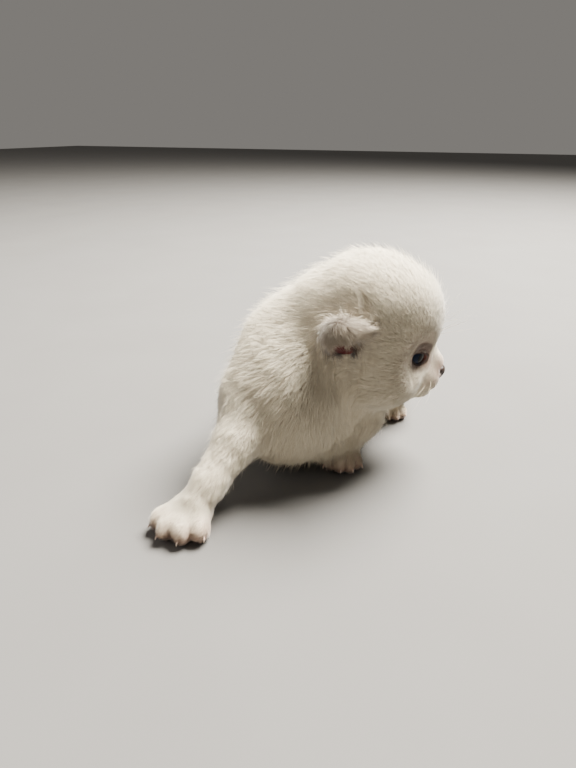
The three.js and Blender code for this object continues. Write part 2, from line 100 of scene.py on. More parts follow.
# Coat of each part: how deep the skin lies in it, hair length and half width in mm, lift off the skin in
# degrees, and how many straight down hairs, bent guard hairs and stray wisps stand on a square millimetre
COAT_COLUMNS = ("depth", "length", "width", "lift", "down", "guard", "wisp")
COAT = {
    "torso": (2.9, 5.0, 0.13, 42, 8.0, 0.5, 0.22),
    "neck": (2.9, 5.0, 0.13, 42, 8.2, 0.5, 0.34),
    "head": (2.3, 4.3, 0.115, 38, 11, 1.1, 0.4),
    "tail": (2.3, 4.4, 0.12, 36, 7.4, 0.5, 0.14),
    "ear": (0.45, 3.7, 0.1, 38, 9, 3.4, 1.4),
    "foreleg": (2.1, 3.9, 0.115, 36, 9.0, 0.5, 0.1),
    "hindleg": (2.4, 4.4, 0.12, 38, 7.8, 0.5, 0.14),
    "paw": (0.8, 2.3, 0.085, 26, 15, 0.4, 0),
}
FACE_COAT = (0.5, 1.6, 0.08, 15, 16, 0, 0)  # the same, around the nose and eyes
EYE_COAT = (0.5, 0.9, 0.9, 1, 1, 1, 1)  # close to the eyes, against the face's
WRIST_COAT = (1.3, 1.3, 1.1, 1.1, 0.8, 1, 1)  # at the lower end of a leg, against the paw's

# Over which distances, in mm, one coat passes into the next
FACE_REACH = (7, 38)  # from the tip of the nose
EYE_REACH = (7.5, 19)  # from the middle of the eye
WRIST_REACH = (10, 28)  # from the middle of the paw

# Which way the coat lies: over the body beside the way from the head, and on an ear's fold and tip
BODY_LIE = (0.0, 0.45, -0.25)
EAR_FOLD_LIE = (0.4, 0.55, -0.8)
EAR_TIP_LIE = (1, 0.1, -0.3)
EAR_TIP_REACH = (2, 8)  # mm along the ear, where the one passes into the other
EYE_LIE = 2.2  # how strongly the coat is combed away from the eyes
EYE_LIE_REACH = (EYE_RADIUS + 1, EYE_RADIUS + 7)

# Round patches of the markings: how strong, out to where they are full, and where they end, in mm
NOSE_SHADE = (0.34, 5, 16)
NOSE_DARK = (0.9, 3.8, 6.6)
NOSE_PINK = (0.5, 3, 11)
EYE_DUSK = (0.95, 4.4, 7.6)
BROW_DUSK = (0.55, 2, 11)
CORNER_PINK = (0.4, 2, 5)
CORNER_DUSK = (0.85, 1.6, 4.4)
EAR_RED = (1, 3.2, 5.2)
EAR_SHADE = (0.22, 8, 16)
EAR_RED_STRETCH = (1.1, 1, 0.85)

# Kinds of hair: bent or straight, and length, lift, width and clumping against the coat's own
HAIRS = {
    "down": (False, 0.88, 1.0, 1.0, 0.7),
    "guard": (True, 1.12, 1.05, 0.9, 1.1),
    "wisp": (True, 1.5, 1.5, 0.5, 0.0),
}

LIGHTS_AIM = 20  # mm below the middle of the head
WINDOW_PLACE = (0.43, 0.44, 0.92)  # metres ahead, to the right and up, as the camera sees it
ROOM_PLACE = (-0.1, -0.9, 0.5)
CAMERA_FROM_HEAD = (62.9, -216.8, 72)  # mm, from the middle of the head
CAMERA_TURN = math.radians(25)
CAMERA_DIP = math.radians(24.2)
LENS_PIXELS = 577  # the photograph's focal length, with its long side 768 pixels
LONG_SIDE = 768


def colour(code):
    """An sRGB hex colour as the linear values that a shader takes."""
    parts = [int(code[i : i + 2], 16) / 255 for i in (1, 3, 5)]
    linear = [c / 12.92 if c <= 0.04045 else ((c + 0.055) / 1.055) ** 2.4 for c in parts]
    return (*linear, 1.0)


def smooth(low, high, value):
    """0 below low, 1 above high, and a smooth step between them."""
    t = np.clip((value - low) / (high - low), 0, 1)
    return t * t * (3 - 2 * t)


def unit(vectors):
    """Each row brought to length 1."""
    return vectors / np.maximum(np.linalg.norm(vectors, axis=-1, keepdims=True), 1e-12)


def on_plane(vectors, normals):
    """Each row without its part along a normal, at length 1."""
    along = (vectors * normals).sum(1, keepdims=True)
    return unit(vectors - along * normals)


def waves(points, strength, size, seed):
    """A smooth wandering value of about a given strength that changes over a given size."""
    draw = np.random.default_rng(seed)
    directions = unit(draw.normal(size=(7, 3)))
    rates = 2 * math.pi / size * draw.uniform(0.6, 1.5, (7, 1))
    phases = draw.uniform(0, 2 * math.pi, 7)
    return strength * (np.sin(points @ (directions * rates).T + phases).sum(1) / 3)


def toe_tips(paw):
    """Where the four toes of a paw end, and the way each points: the farthest places round the paw."""
    surface = surface_of(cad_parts[paw].data)
    low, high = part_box(paw)
    centre = Vector(((low.x + high.x) / 2, (low.y + high.y) / 2, low.z + TOE_HEIGHT))
    heading = Vector(PAW_HEADINGS[paw]).normalized()
    rays = []
    for degree in range(-86, 87, 2):
        out = Matrix.Rotation(math.radians(degree), 3, "Z") @ heading
        hit = surface.ray_cast(centre + out * 0.03, -out)[0]
        rays.append(((hit - centre).length, degree, hit, out))
    peaks = [ray for before, ray, after in zip(rays, rays[1:], rays[2:]) if before[0] <= ray[0] > after[0]]
    peaks = sorted(sorted(peaks, reverse=True)[:4], key=lambda ray: ray[1])
    return [(hit, (out + heading).normalized()) for reach, degree, hit, out in peaks]


def toe_grooves(points):
    """How deep each place lies in a groove between two toes, from 0 to 1."""
    groove = np.zeros(len(points))
    for paw in PAWS:
        tips = toe_tips(paw)
        for (first, out), (second, other) in zip(tips, tips[1:]):
            back = -np.array((out + other).normalized())
            start = np.array((first + second) / 2) - back * MM
            along = np.clip((points - start) @ back, 0, TOE_LENGTH)
            away = points - start - along[:, None] * back
            away[:, 2] = 0
            fade = 1 - smooth(0.35, 1, along / TOE_LENGTH)
            wide = TOE_GROOVE * (0.6 + 0.4 * fade)
            groove = np.maximum(groove, fade * np.exp(-((np.linalg.norm(away, axis=1) / wide) ** 2)))
    return groove


def eye_axes(sign):
    """Where one eye faces, the way from its middle to the nose, and up, in the head's frame."""
    facing = Vector((EYE_FACING[0], EYE_FACING[1] * sign, EYE_FACING[2])).normalized()
    inward = facing.cross(Vector((0, 0, 1))).normalized() * sign
    up = facing.cross(inward) * -sign
    tilt = Matrix.Rotation(OPENING_TILT * sign, 3, facing)
    return facing, tilt @ inward, tilt @ up


def opening(angles):
    """How far round the eye the lids' edge lies, in radians, by the angle from the inner corner."""
    inner, outer, upper, lower = (math.radians(a) for a in OPENING)
    wide = np.where(np.cos(angles) > 0, inner, outer)
    high = np.where(np.sin(angles) > 0, upper, lower)
    full = np.where(np.sin(angles) > 0, *OPENING_FULLNESS)
    return (np.abs(np.cos(angles) / wide) ** full + np.abs(np.sin(angles) / high) ** full) ** (-1 / full)


def round_eye(points, sign):
    """Places round an eye: distance, angle from the inner corner and turn from facing."""
    facing, inward, up = eye_axes(sign)
    away = points - np.array(EYE_PLACE) * (1, sign, 1)
    distance = np.linalg.norm(away, axis=1)
    turn = np.arccos(np.clip(away @ np.array(facing) / np.maximum(distance, 1e-9), -1, 1))
    return distance, np.arctan2(away @ np.array(up), away @ np.array(inward)), turn


def middle(node):
    low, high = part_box(node)
    return (low + high) / 2


def head_matrix():
    """The head's own frame in mm, from the places of the two eyes."""
    left_eye, right_eye = middle("eye_left"), middle("eye_right")
    left = (left_eye - right_eye).normalized()
    level = left.cross(Vector((0, 0, 1)))
    forward = level * math.cos(HEAD_NOD) - Vector((0, 0, 1)) * math.sin(HEAD_NOD)
    up = forward.cross(left)
    turn = Matrix((forward, left, up)).transposed().to_4x4()
    between = turn @ Vector((EYE_PLACE[0], 0, EYE_PLACE[2])) * MM
    return Matrix.Translation((left_eye + right_eye) / 2 - between) @ turn @ Matrix.Scale(MM, 4)


HEAD = head_matrix()


def in_head(points):
    """Places of the frame, in metres, as places of the head's frame, in mm."""
    back = np.array(HEAD.inverted())
    return points @ back[:3, :3].T + back[:3, 3]


def from_head(vectors):
    """Directions of the head's frame as directions of the frame."""
    return np.asarray(vectors) @ (np.array(HEAD)[:3, :3] / MM).T


def ear_matrix(side):
    """One ear's own frame: x along the fold to its tip, y away from the head, z up across it."""
    mirror = Matrix.Diagonal((1, SIDES[side], 1, 1))
    return HEAD @ mirror @ Matrix.Translation(EAR_PLACE) @ Matrix.Rotation(-EAR_TILT, 4, "Y")


# Materials


def new_material(name, roughness, specular=0.5):
    material = bpy.data.materials.new(name)
    material.use_nodes = True
    tree = material.node_tree
    shader = tree.nodes["Principled BSDF"]
    shader.inputs["Roughness"].default_value = roughness
    shader.inputs["Specular IOR Level"].default_value = specular
    return material, tree, shader


def node(tree, kind, settings=None, **links):
    """Adds a node with its settings. Each link is named for a socket, and holds an output or a value."""
    made = tree.nodes.new(kind)
    for name, value in (settings or {}).items():
        setattr(made, name, value)
    for name, value in links.items():
        socket = made.inputs[int(name[1:])] if name[1:].isdigit() else made.inputs[name.replace("_", " ")]
        if isinstance(value, bpy.types.NodeSocket):
            tree.links.new(value, socket)
        else:
            socket.default_value = value
    return made


def mixed(tree, factor, first, second):
    """The colour between two colours."""
    made = node(tree, "ShaderNodeMix", {"data_type": "RGBA"}, _0=factor, _6=first, _7=second)
    return made.outputs[2]


def attribute(tree, name):
    return node(tree, "ShaderNodeAttribute", {"attribute_name": name}).outputs["Fac"]


def noise(tree, place, size, detail):
    """A cloudy value that changes over a given size."""
    made = node(tree, "ShaderNodeTexNoise", Vector=place, Scale=1 / size, Detail=detail)
    return made.outputs["Fac"]


def soft_edge(tree, value, low, high):
    """0 below low, 1 above high, and a smooth step between them."""
    settings = {"interpolation_type": "SMOOTHSTEP"}
    return node(tree, "ShaderNodeMapRange", settings, _0=value, _1=low, _2=high).outputs[0]


def fur_material(settings):
    # Kitten down: each hair is clear and colourless at its tip, so the lit coat is cream white. The darker,
    # warmer colour toward the root is painted shade deep in the coat, so the shade between the tufts is warm
    # and never black
    material, tree, shader = new_material("kitten_down", 0.75, 0.25)
    deep = mixed(tree, attribute(tree, "vary"), colour(settings.root), colour(settings.root_pale))
    tip = mixed(tree, attribute(tree, "vary"), colour(settings.tip), colour(settings.tip_pale))
    along = attribute(tree, "along")
    plain = mixed(tree, along, deep, tip)
    # the grey points, with the painted shade on the paws and along the ears' lower edge
    grey = mixed(tree, attribute(tree, "points"), plain, colour(settings.points))
    warm = mixed(tree, attribute(tree, "blush"), grey, colour(settings.blush))
    tree.links.new(warm, shader.inputs["Base Color"])
    shader.inputs["Sheen Weight"].default_value = 0.35
    shader.inputs["Sheen Roughness"].default_value = 0.5
    return material


def skin_material(settings):
    # Living skin seen through thin fur: pale and pinkish, darker at the points, blood red in the ears, where
    # the red is darkened by painted shade of the ear's hollow
    material, tree, shader = new_material("kitten_skin", 0.6, 0.35)
    place = node(tree, "ShaderNodeTexCoord").outputs["Object"]
    mottle = noise(tree, place, 2.5 * MM, 4.0)
    plain = mixed(tree, mottle, colour(settings.skin), colour(settings.skin_pale))
    # the grey points, with the painted shade on the paws and along the ears' lower edge
    grey = mixed(tree, attribute(tree, "points"), plain, colour(settings.points))
    warm = mixed(tree, attribute(tree, "blush"), grey, colour(settings.blush))
    ear = mixed(tree, attribute(tree, "inner_ear"), warm, colour(settings.inner_ear))
    tree.links.new(ear, shader.inputs["Base Color"])
    down = noise(tree, place, 0.35 * MM, 3.0)
    bump = node(tree, "ShaderNodeBump", Height=down, Strength=0.5, Distance=0.2 * MM)
    tree.links.new(bump.outputs["Normal"], shader.inputs["Normal"])
    return material


def lid_material(settings):
    # The bare rim of the lids: dark brown moist skin, lighter and drier away from the opening
    material, tree, shader = new_material("eyelid_skin", 0.7, 0.12)
    place = node(tree, "ShaderNodeTexCoord").outputs["Object"]
    grain = noise(tree, place, 0.5 * MM, 4.0)
    dark = mixed(tree, grain, colour(settings.lid_rim), colour(settings.nose))
    rim = mixed(tree, attribute(tree, "corner"), dark, colour(settings.eye_corner))
    grey = mixed(tree, attribute(tree, "points"), colour(settings.skin), colour(settings.lid_dusk))
    away = mixed(tree, attribute(tree, "away"), rim, grey)
    tree.links.new(away, shader.inputs["Base Color"])
    bump = node(tree, "ShaderNodeBump", Height=grain, Strength=0.4, Distance=0.1 * MM)
    tree.links.new(bump.outputs["Normal"], shader.inputs["Normal"])
    return material


def leather_material(name, first, second):
    # Hairless skin with a fine pebble, as on a nose or a lip: moist, so it shines softly
    material, tree, shader = new_material(name, 0.42, 0.3)
    place = node(tree, "ShaderNodeTexCoord").outputs["Object"]
    cells = node(tree, "ShaderNodeTexVoronoi", Vector=place, Scale=1 / (0.32 * MM)).outputs["Distance"]
    cloud = noise(tree, place, 1.6 * MM, 3.0)
    tree.links.new(mixed(tree, cloud, first, second), shader.inputs["Base Color"])
    bump = node(tree, "ShaderNodeBump", Height=cells, Strength=0.55, Distance=0.12 * MM)
    tree.links.new(bump.outputs["Normal"], shader.inputs["Normal"])
    return material


def eye_material(settings):
    # A young kitten's eye: a wide black pupil in a deep navy iris under a wet clear cornea
    material, tree, shader = new_material("wet_eye", 0.06, 0.06)
    place = node(tree, "ShaderNodeTexCoord").outputs["Object"]
    fibres = noise(tree, place, 0.6 * MM, 5.0)
    iris = mixed(tree, fibres, colour(settings.iris), colour(settings.iris_pale))
    pupil = soft_edge(tree, attribute(tree, "turn"), settings.pupil * 0.9, settings.pupil * 1.1)
    with_pupil = mixed(tree, pupil, colour(settings.pupil_colour), iris)
    edge = soft_edge(tree, attribute(tree, "turn"), settings.iris_edge * 0.94, settings.iris_edge * 1.04)
    whole = mixed(tree, edge, with_pupil, colour(settings.eye_white))
    tree.links.new(whole, shader.inputs["Base Color"])
    return material


def claw_material(settings):
    # Thin young horn: pale, smooth and slightly clear, pink at the root where blood shows through
    material, tree, shader = new_material("claw_horn", 0.3, 0.5)
    fade = mixed(tree, attribute(tree, "along"), colour(settings.blush), colour(settings.claw))
    tree.links.new(fade, shader.inputs["Base Color"])
    return material


def whisker_material(settings):
    # Stiff white hair, round and glossy
    material, tree, shader = new_material("whisker_hair", 0.35, 0.5)
    fade = mixed(tree, attribute(tree, "along"), colour(settings.root), colour(settings.tip_pale))
    tree.links.new(fade, shader.inputs["Base Color"])
    return material


def floor_material(settings):
    # Matt painted board, almost even
    material, tree, shader = new_material("matt_board", 0.9, 0.2)
    place = node(tree, "ShaderNodeTexCoord").outputs["Object"]
    cloud = noise(tree, place, 60 * MM, 2.0)
    board = mixed(tree, cloud, colour(settings.floor), colour(settings.floor_pale))
    tree.links.new(board, shader.inputs["Base Color"])
    return material


# Meshes


def piece(name, mesh, material):
    """A finished piece that rides with the body."""
    made = bpy.data.objects.new(name, mesh)
    bpy.context.scene.collection.objects.link(made)
    mesh.materials.clear()
    mesh.materials.append(material)
    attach(made, "root")
    return made


def mesh_of(bm, name):
    """The finished mesh of a piece, with its faces outward and shaded smooth."""
    bmesh.ops.recalc_face_normals(bm, faces=bm.faces)
    for face in bm.faces:
        face.smooth = True
    mesh = bpy.data.meshes.new(name)
    bm.to_mesh(mesh)
    bm.free()
    return mesh


def points_of(mesh):
    flat = np.empty(len(mesh.vertices) * 3)
    mesh.vertices.foreach_get("co", flat)
    return flat.reshape(-1, 3)


def set_points(mesh, points):
    mesh.vertices.foreach_set("co", points.astype(np.float32).ravel())
    mesh.update()


def add_values(mesh, name, values):
    """A number for each vertex, kept with the mesh."""
    layer = mesh.attributes.new(name, "FLOAT", "POINT")
    layer.data.foreach_set("value", np.asarray(values, np.float32))


def add_vectors(mesh, name, vectors):
    """A direction for each vertex, kept with the mesh."""
    layer = mesh.attributes.new(name, "FLOAT_VECTOR", "POINT")
    layer.data.foreach_set("vector", vectors.astype(np.float32).ravel())


def values_of(mesh, name):
    values = np.empty(len(mesh.vertices), np.float32)
    mesh.attributes[name].data.foreach_get("value", values)
    return values.astype(float)


def vectors_of(mesh, name):
    flat = np.empty(len(mesh.vertices) * 3, np.float32)
    mesh.attributes[name].data.foreach_get("vector", flat)
    return flat.reshape(-1, 3).astype(float)


def remeshed(bm, name, voxel):
    """The mesh as one closed skin of even cells."""
    mesh = bpy.data.meshes.new(name)
    bm.to_mesh(mesh)
    bm.free()
    holder = bpy.data.objects.new(name, mesh)
    bpy.context.scene.collection.objects.link(holder)
    remesh = holder.modifiers.new("Even cells", "REMESH")
    remesh.mode = "VOXEL"
    remesh.voxel_size = voxel
    remesh.use_smooth_shade = True
    done = bpy.data.meshes.new_from_object(holder.evaluated_get(bpy.context.evaluated_depsgraph_get()))
    bpy.data.objects.remove(holder)
    bpy.data.meshes.remove(mesh)
    return done


def tube(bm, path, radii, sides, layer=None):
    """A closed round tube along a path, drawn from a circle ring by ring."""
    path = [Vector(p) for p in path]
    ring = bmesh.ops.create_circle(bm, cap_ends=True, cap_tris=False, segments=sides, radius=1)["verts"]
    face = ring[0].link_faces[0]
    flat = [v.co.copy() for v in ring]
    for i, (place, radius) in enumerate(zip(path, radii)):
        if i:
            grown = bmesh.ops.extrude_face_region(bm, geom=[face])["geom"]
            bmesh.ops.delete(bm, geom=[face], context="FACES_ONLY")
            face = next(g for g in grown if isinstance(g, bmesh.types.BMFace))
            ring = [g for g in grown if isinstance(g, bmesh.types.BMVert)]
            ring.sort(key=lambda v: order[v.co.copy().freeze()])
        ahead = path[min(i + 1, len(path) - 1)] - path[max(i - 1, 0)]
        turn = ahead.to_track_quat("Z", "Y")
        order = {}
        for k, v in enumerate(ring):
            v.co = place + turn @ (flat[k] * radius)
            order[v.co.copy().freeze()] = k
            if layer:
                v[layer] = i / (len(path) - 1)


def even_out(points, average, shares, steps, where=1.0):
    """Draws a form in and lets it out again step by step, so that it is evened out and keeps its size."""
    for _ in range(steps):
        for share in shares:
            points += share * where * (average(points) - points)


def surface_of(mesh):
    """A mesh as a surface that rays and places can be tried against."""
    return BVHTree.FromPolygons([v.co for v in mesh.vertices], [p.vertices for p in mesh.polygons])


def neighbours(mesh):
    """How a value is averaged over each vertex's neighbours."""
    pairs = np.empty(len(mesh.edges) * 2, np.int64)
    mesh.edges.foreach_get("vertices", pairs)
    a, b = pairs.reshape(-1, 2).T
    start, end = np.concatenate([a, b]), np.concatenate([b, a])
    count = np.bincount(start, minlength=len(mesh.vertices)).astype(float)

    def average(values):
        if values.ndim == 1:
            return np.bincount(start, values[end], len(count)) / count
        return np.stack([average(column) for column in values.T], 1)

    return average


def normals_of(mesh):
    flat = np.empty(len(mesh.vertices) * 3, np.float32)
    mesh.vertex_normals.foreach_get("vector", flat)
    return flat.reshape(-1, 3).astype(float)


# Skin

# Evening of the body's form: how far it is drawn in and let out again, and then only drawn in. It is
# evened least up to the first depth of coat, in mm, and fully when the coat is deeper by the second
EVENING = (0.6, -0.62)
SETTLING = (0.4,)
EVENED_LEAST = 0.8
EVENED_FULLY = 2.0
LEAST_EVENING = 0.03


def nearest_parts(points):
    """For each place, the number in FLESH of the solid that it lies on."""
    centres, parts = [], []
    for number, name in enumerate(FLESH):
        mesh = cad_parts[name].data
        faces = np.empty(len(mesh.polygons) * 3)
        mesh.polygons.foreach_get("center", faces)
        centres.append(faces.reshape(-1, 3))
        parts += [number] * len(mesh.polygons)
    centres = np.concatenate(centres)
    tree = KDTree(len(centres))
    for i, centre in enumerate(centres):
        tree.insert(centre, i)
    tree.balance()
    return np.array([parts[tree.find(p)[1]] for p in points])


def coat_at(parts, points):
    """The rows of COAT for each place, with the face's own around the nose and eyes."""
    rows = [next(COAT[key] for key in COAT if name.startswith(key) or key in name) for name in FLESH]
    values = np.array(rows, float)[parts]
    head = parts == FLESH.index("head")
    q = in_head(points)
    from_nose = np.linalg.norm(q - np.array(NOSE_TIP), axis=1)
    toward_head = smooth(*FACE_REACH, from_nose)[:, None]
    face = np.array(FACE_COAT) + (values - np.array(FACE_COAT)) * toward_head
    for side in SIDES.values():
        eye = np.array(EYE_PLACE) * (1, side, 1)
        near = (1 - smooth(*EYE_REACH, np.linalg.norm(q - eye, axis=1)))[:, None]
        face = face + (np.array(FACE_COAT) * EYE_COAT - face) * near
    values[head] = face[head]
    # a leg's coat is shorter toward the paw
    for leg, paw in zip(LEGS, PAWS):
        on_leg = parts == FLESH.index(leg)
        away = np.linalg.norm(points - np.array(middle(paw)), axis=1) / MM
        low = (1 - smooth(*WRIST_REACH, away))[:, None]
        short = values + (np.array(COAT["paw"]) * WRIST_COAT - values) * low
        values[on_leg] = short[on_leg]
    return values


def lie_of_coat(parts, points):
    """Which way the coat points at each place, before it is laid on the skin."""
    q = in_head(points)
    head_middle = np.array(HEAD.translation)
    flow = unit(points - head_middle) + np.array(BODY_LIE)
    on_head = parts == FLESH.index("head")
    flow[on_head] = from_head(unit(q - np.array(NOSE_TIP)))[on_head]
    for leg, paw in zip(LEGS, PAWS):
        target = np.array(middle(paw))
        forward = target - np.array(middle(leg))
        forward[2] = -0.15 * np.linalg.norm(forward[:2])
        on_leg, on_paw = parts == FLESH.index(leg), parts == FLESH.index(paw)
        flow[on_leg] = unit(target - points)[on_leg]
        flow[on_paw] = unit(forward)
    # back and down along the tail, then round with it to the kitten's right
    low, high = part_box("tail")
    on_tail = parts == FLESH.index("tail")
    t = (points[:, 1] - low.y) / (high.y - low.y)
    along = np.stack([-1.3 * t * t, 1 - 0.7 * t, -0.6 * (1 - t)], 1)
    flow[on_tail] = unit(along)[on_tail]
    for side in SIDES:
        # over the fold and down the flap, and out along its tip
        matrix = np.array(ear_matrix(side))
        back = np.linalg.inv(matrix)
        tip = smooth(*EAR_TIP_REACH, points @ back[0, :3] + back[0, 3])[:, None]
        way = tip * EAR_TIP_LIE + (1 - tip) * EAR_FOLD_LIE
        on_ear = parts == FLESH.index(f"ear_{side}")
        flow[on_ear] = unit(way @ matrix[:3, :3].T)[on_ear]
    return unit(flow)


def mark(distance, strength, full, end):
    """A round patch of the markings by the distance from its middle."""
    return strength * (1 - smooth(full, end, distance))


def markings(parts, points):
    """Grey round ears, eyes and nose, pink on toes and lips, red inside the ears, and painted shade between
    the toes, low on the paws and along the ears' lower edge.
    """
    q = in_head(points)
    red = np.zeros(len(points))
    nose = np.linalg.norm((q - np.array(NOSE_TIP)) * (1, 1, 1.2), axis=1)
    grey = np.maximum(mark(nose, *NOSE_SHADE), mark(nose, *NOSE_DARK))
    pink = mark(nose, *NOSE_PINK)
    for side, sign in SIDES.items():
        eye = np.array(EYE_PLACE) * (1, sign, 1)
        facing = np.array(EYE_FACING) * (1, sign, 1) * EYE_RADIUS
        around = np.linalg.norm(q - eye - facing - EYE_SHADE, axis=1)
        brow = np.linalg.norm(q - eye - facing - BROW, axis=1)
        corner = np.linalg.norm(q - np.array(EYE_CORNER) * (1, sign, 1), axis=1)
        for distance, shade in ((around, EYE_DUSK), (brow, BROW_DUSK), (corner, CORNER_DUSK)):
            grey = np.maximum(grey, mark(distance, *shade))
        pink = np.maximum(pink, mark(corner, *CORNER_PINK))
        back = np.array(ear_matrix(side).inverted())
        e = points @ back[:3, :3].T + back[:3, 3]
        on_ear = parts == FLESH.index(f"ear_{side}")
        # the ears are grey points all over, and greyer toward the flap's lower edge as painted shade under
        # the flap
        grey[on_ear] = (0.64 + 0.34 * (1 - smooth(-3.5, 0.5, e[:, 2])))[on_ear]
        # red inside the ear: the skin's own red, which its colour darkens as painted shade of the hollow
        inside = np.linalg.norm((e - EAR_OPENING) * EAR_RED_STRETCH, axis=1)
        red = np.maximum(red, mark(inside, *EAR_RED))
        grey = np.maximum(grey, mark(np.linalg.norm(e, axis=1), *EAR_SHADE))
    # painted shade: grey in the grooves between the toes, and toward the floor on each paw
    painted_toe_shade = toe_grooves(points)
    for paw in PAWS:
        low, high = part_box(paw)
        on_paw = parts == FLESH.index(paw)
        height = (points[:, 2] - low.z) / (high.z - low.z)
        pink[on_paw] = (0.7 * (1 - smooth(0.15, 0.85, height)))[on_paw]
        grey[on_paw] = (0.85 * painted_toe_shade + 0.3 * (1 - smooth(0.0, 0.5, height)))[on_paw]
    return grey, pink, red


def lay_coat(mesh, parts, coat, steps):
    """Keeps with a mesh how its coat grows, which way it lies and how it is marked."""
    average = neighbours(mesh)
    points, normals = points_of(mesh), normals_of(mesh)
    flow = on_plane(lie_of_coat(parts, points), normals)
    for _ in range(steps):
        flow = on_plane(flow + average(flow), normals)
    # away from the eyes
    q = in_head(points)
    for sign in SIDES.values():
        away = q - np.array(EYE_PLACE) * (1, sign, 1)
        near = 1 - smooth(*EYE_LIE_REACH, np.linalg.norm(away, axis=1))
        flow = on_plane(flow + EYE_LIE * near[:, None] * from_head(unit(away)), normals)
    grey, pink, red = markings(parts, points)
    add_values(mesh, "part", parts)
    for name, column in zip(COAT_COLUMNS, coat.T):
        add_values(mesh, name, column)
    # the grey points, with painted shade between the toes, low on the paws and along the ears' lower edge
    add_values(mesh, "points", grey)
    add_values(mesh, "blush", pink)
    add_values(mesh, "inner_ear", red)
    add_vectors(mesh, "flow", flow)


class KITTEN_OT_skin(bpy.types.Operator):
    """Makes one skin over all the flesh, and lays down where the coat goes and which way it lies"""

    bl_idname = "kitten.skin"
    bl_label = "Skin"

    def execute(self, context):
        settings = context.scene.kitten_skin
        bm = bmesh.new()
        for name in FLESH:
            bm.from_mesh(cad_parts[name].data)
        bmesh.ops.remove_doubles(bm, verts=bm.verts, dist=1e-6)
        bm.normal_update()
        for v in bm.verts:
            v.co += v.normal * settings.closing
        mesh = remeshed(bm, "skin", settings.cell)
        average = neighbours(mesh)
        points = points_of(mesh)
        parts = nearest_parts(points)
        coat = coat_at(parts, points)
        even_out(coat, average, (0.5,), settings.blend_steps)
        # the body is evened out more than the face, whose forms are fine and whose coat is thin
        where = np.clip((coat[:, :1] - EVENED_LEAST) / EVENED_FULLY, LEAST_EVENING, 1)
        even_out(points, average, EVENING, settings.even_steps, where)
        set_points(mesh, points)
        points -= normals_of(mesh) * coat[:, :1] * MM
        even_out(points, average, SETTLING, 4, where)
        points = self.eye_sockets(points, settings)
        for side in SIDES:
            # the tip of an ear is mostly fur
            matrix = np.array(ear_matrix(side))
            along = unit(matrix[:3, 0])
            beyond = (points - matrix[:3, 3]) @ along - EAR_BLUNT[0] * MM
            beyond = np.maximum(beyond, 0) * (parts == FLESH.index(f"ear_{side}"))
            points -= (1 - EAR_BLUNT[1]) * beyond[:, None] * along
        # the toes part more deeply than their coat does
        set_points(mesh, points)
        points -= normals_of(mesh) * (settings.toe_depth * toe_grooves(points))[:, None]
        points[:, 2] = np.maximum(points[:, 2], settings.floor_gap)
        set_points(mesh, points)
        lay_coat(mesh, parts, coat, settings.flow_steps)
        for polygon in mesh.polygons:
            polygon.use_smooth = True
        made = piece("skin", mesh, skin_material(context.scene.kitten_colours))
        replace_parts(made, *FLESH)
        return {"FINISHED"}

    def eye_sockets(self, points, settings):
        """The skin opened round each eye wider than its lids, and drawn in behind the outer corner."""
        q = in_head(points)
        for sign in SIDES.values():
            distance, angle, turn = round_eye(q, sign)
            facing, inward, up = (np.array(axis) for axis in eye_axes(sign))
            near = (1 - smooth(*SOCKET_DEPTH, distance)) * (1 - smooth(*SOCKET_WIDTH, turn))
            near *= distance > EYE_RADIUS
            outward = -np.cos(angle)
            inset = settings.outer_corner * near**2 * smooth(-0.2, 0.6, outward)
            turn = turn + settings.socket * near * smooth(-0.9, 0.3, outward)
            across = np.cos(angle)[:, None] * inward + np.sin(angle)[:, None] * up
            ways = np.cos(turn)[:, None] * facing + np.sin(turn)[:, None] * across
            distance = distance - inset * (distance - EYE_RADIUS)
            moved = np.array(EYE_PLACE) * (1, sign, 1) + ways * distance[:, None]
            q = np.where(near[:, None] > 0, moved, q)
        matrix = np.array(HEAD)
        return q @ matrix[:3, :3].T + matrix[:3, 3]


# Coat

# How hairs differ along the coat: for each, how much, over which size in metres, and the seed of its waves
STRAY_WAVES = ((0.7, 0.012, 3), (0.5, 0.004, 4))
LIFT_WAVES = (0.1, 0.008, 5)
LENGTH_WAVES = (0.07, 0.009, 6)

# How single hairs differ from those around them
STRAY_SPREAD = 0.13
LIFT_SPREAD = 0.16
LENGTH_SPREAD = 0.12
TIP_SPREAD = 0.1
THICKNESS_RANGE = (0.75, 1.25)
PULL_RANGE = (0.5, 1)

LIFT_LIMITS = (0.06, 1.3)  # radians
SUNK_SHARE = 0.05  # of a hair's length, at most, in the skin
MIDDLE_WIDTH = 0.72  # of a bent hair, against its root
TIP_PULL, MIDDLE_PULL = 0.8, 0.25  # how far a hair gives way to its lock
TUFT_TRIANGLES = {"down": 4, "guard": 10, "wisp": 10}

LARGE_PARTS = ("torso", "head")  # which have the larger places on the unwrap


def unwrapped(parts, places, normals):
    """Each place on an unwrap of the skin: six sides of each part, laid out beside each other."""
    sheet = {}
    left, bottom = 0.0, 0.0
    for name in LARGE_PARTS + LEGS + ("neck", "tail") + PAWS + EARS:
        width = 0.5 if name in LARGE_PARTS else 0.25
        sheet[name] = (left, bottom, width / 3)
        left += width
        if left > 0.999:
            left, bottom = 0.0, bottom + width * 2 / 3
    uv = np.zeros((len(places), 2))
    axis = np.abs(normals).argmax(1)
    facing = np.take_along_axis(normals, axis[:, None], 1)[:, 0] > 0
    margin = 0.06
    for number, name in enumerate(FLESH):
        here = parts == number
        if not here.any():
            continue
        low, high = (np.array(corner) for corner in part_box(name))
        share = (places[here] - low) / (high - low).max()
        share = margin + (1 - 2 * margin) * np.clip(share, 0, 1)
        turned = np.stack([share[:, [1, 2]], share[:, [0, 2]], share[:, [0, 1]]], 1)
        flat = np.take_along_axis(turned, axis[here][:, None, None], 1)[:, 0]
        x0, y0, tile = sheet[name]
        uv[here, 0] = x0 + tile * (axis[here] + flat[:, 0])
        uv[here, 1] = y0 + tile * (facing[here] + flat[:, 1])
    return uv


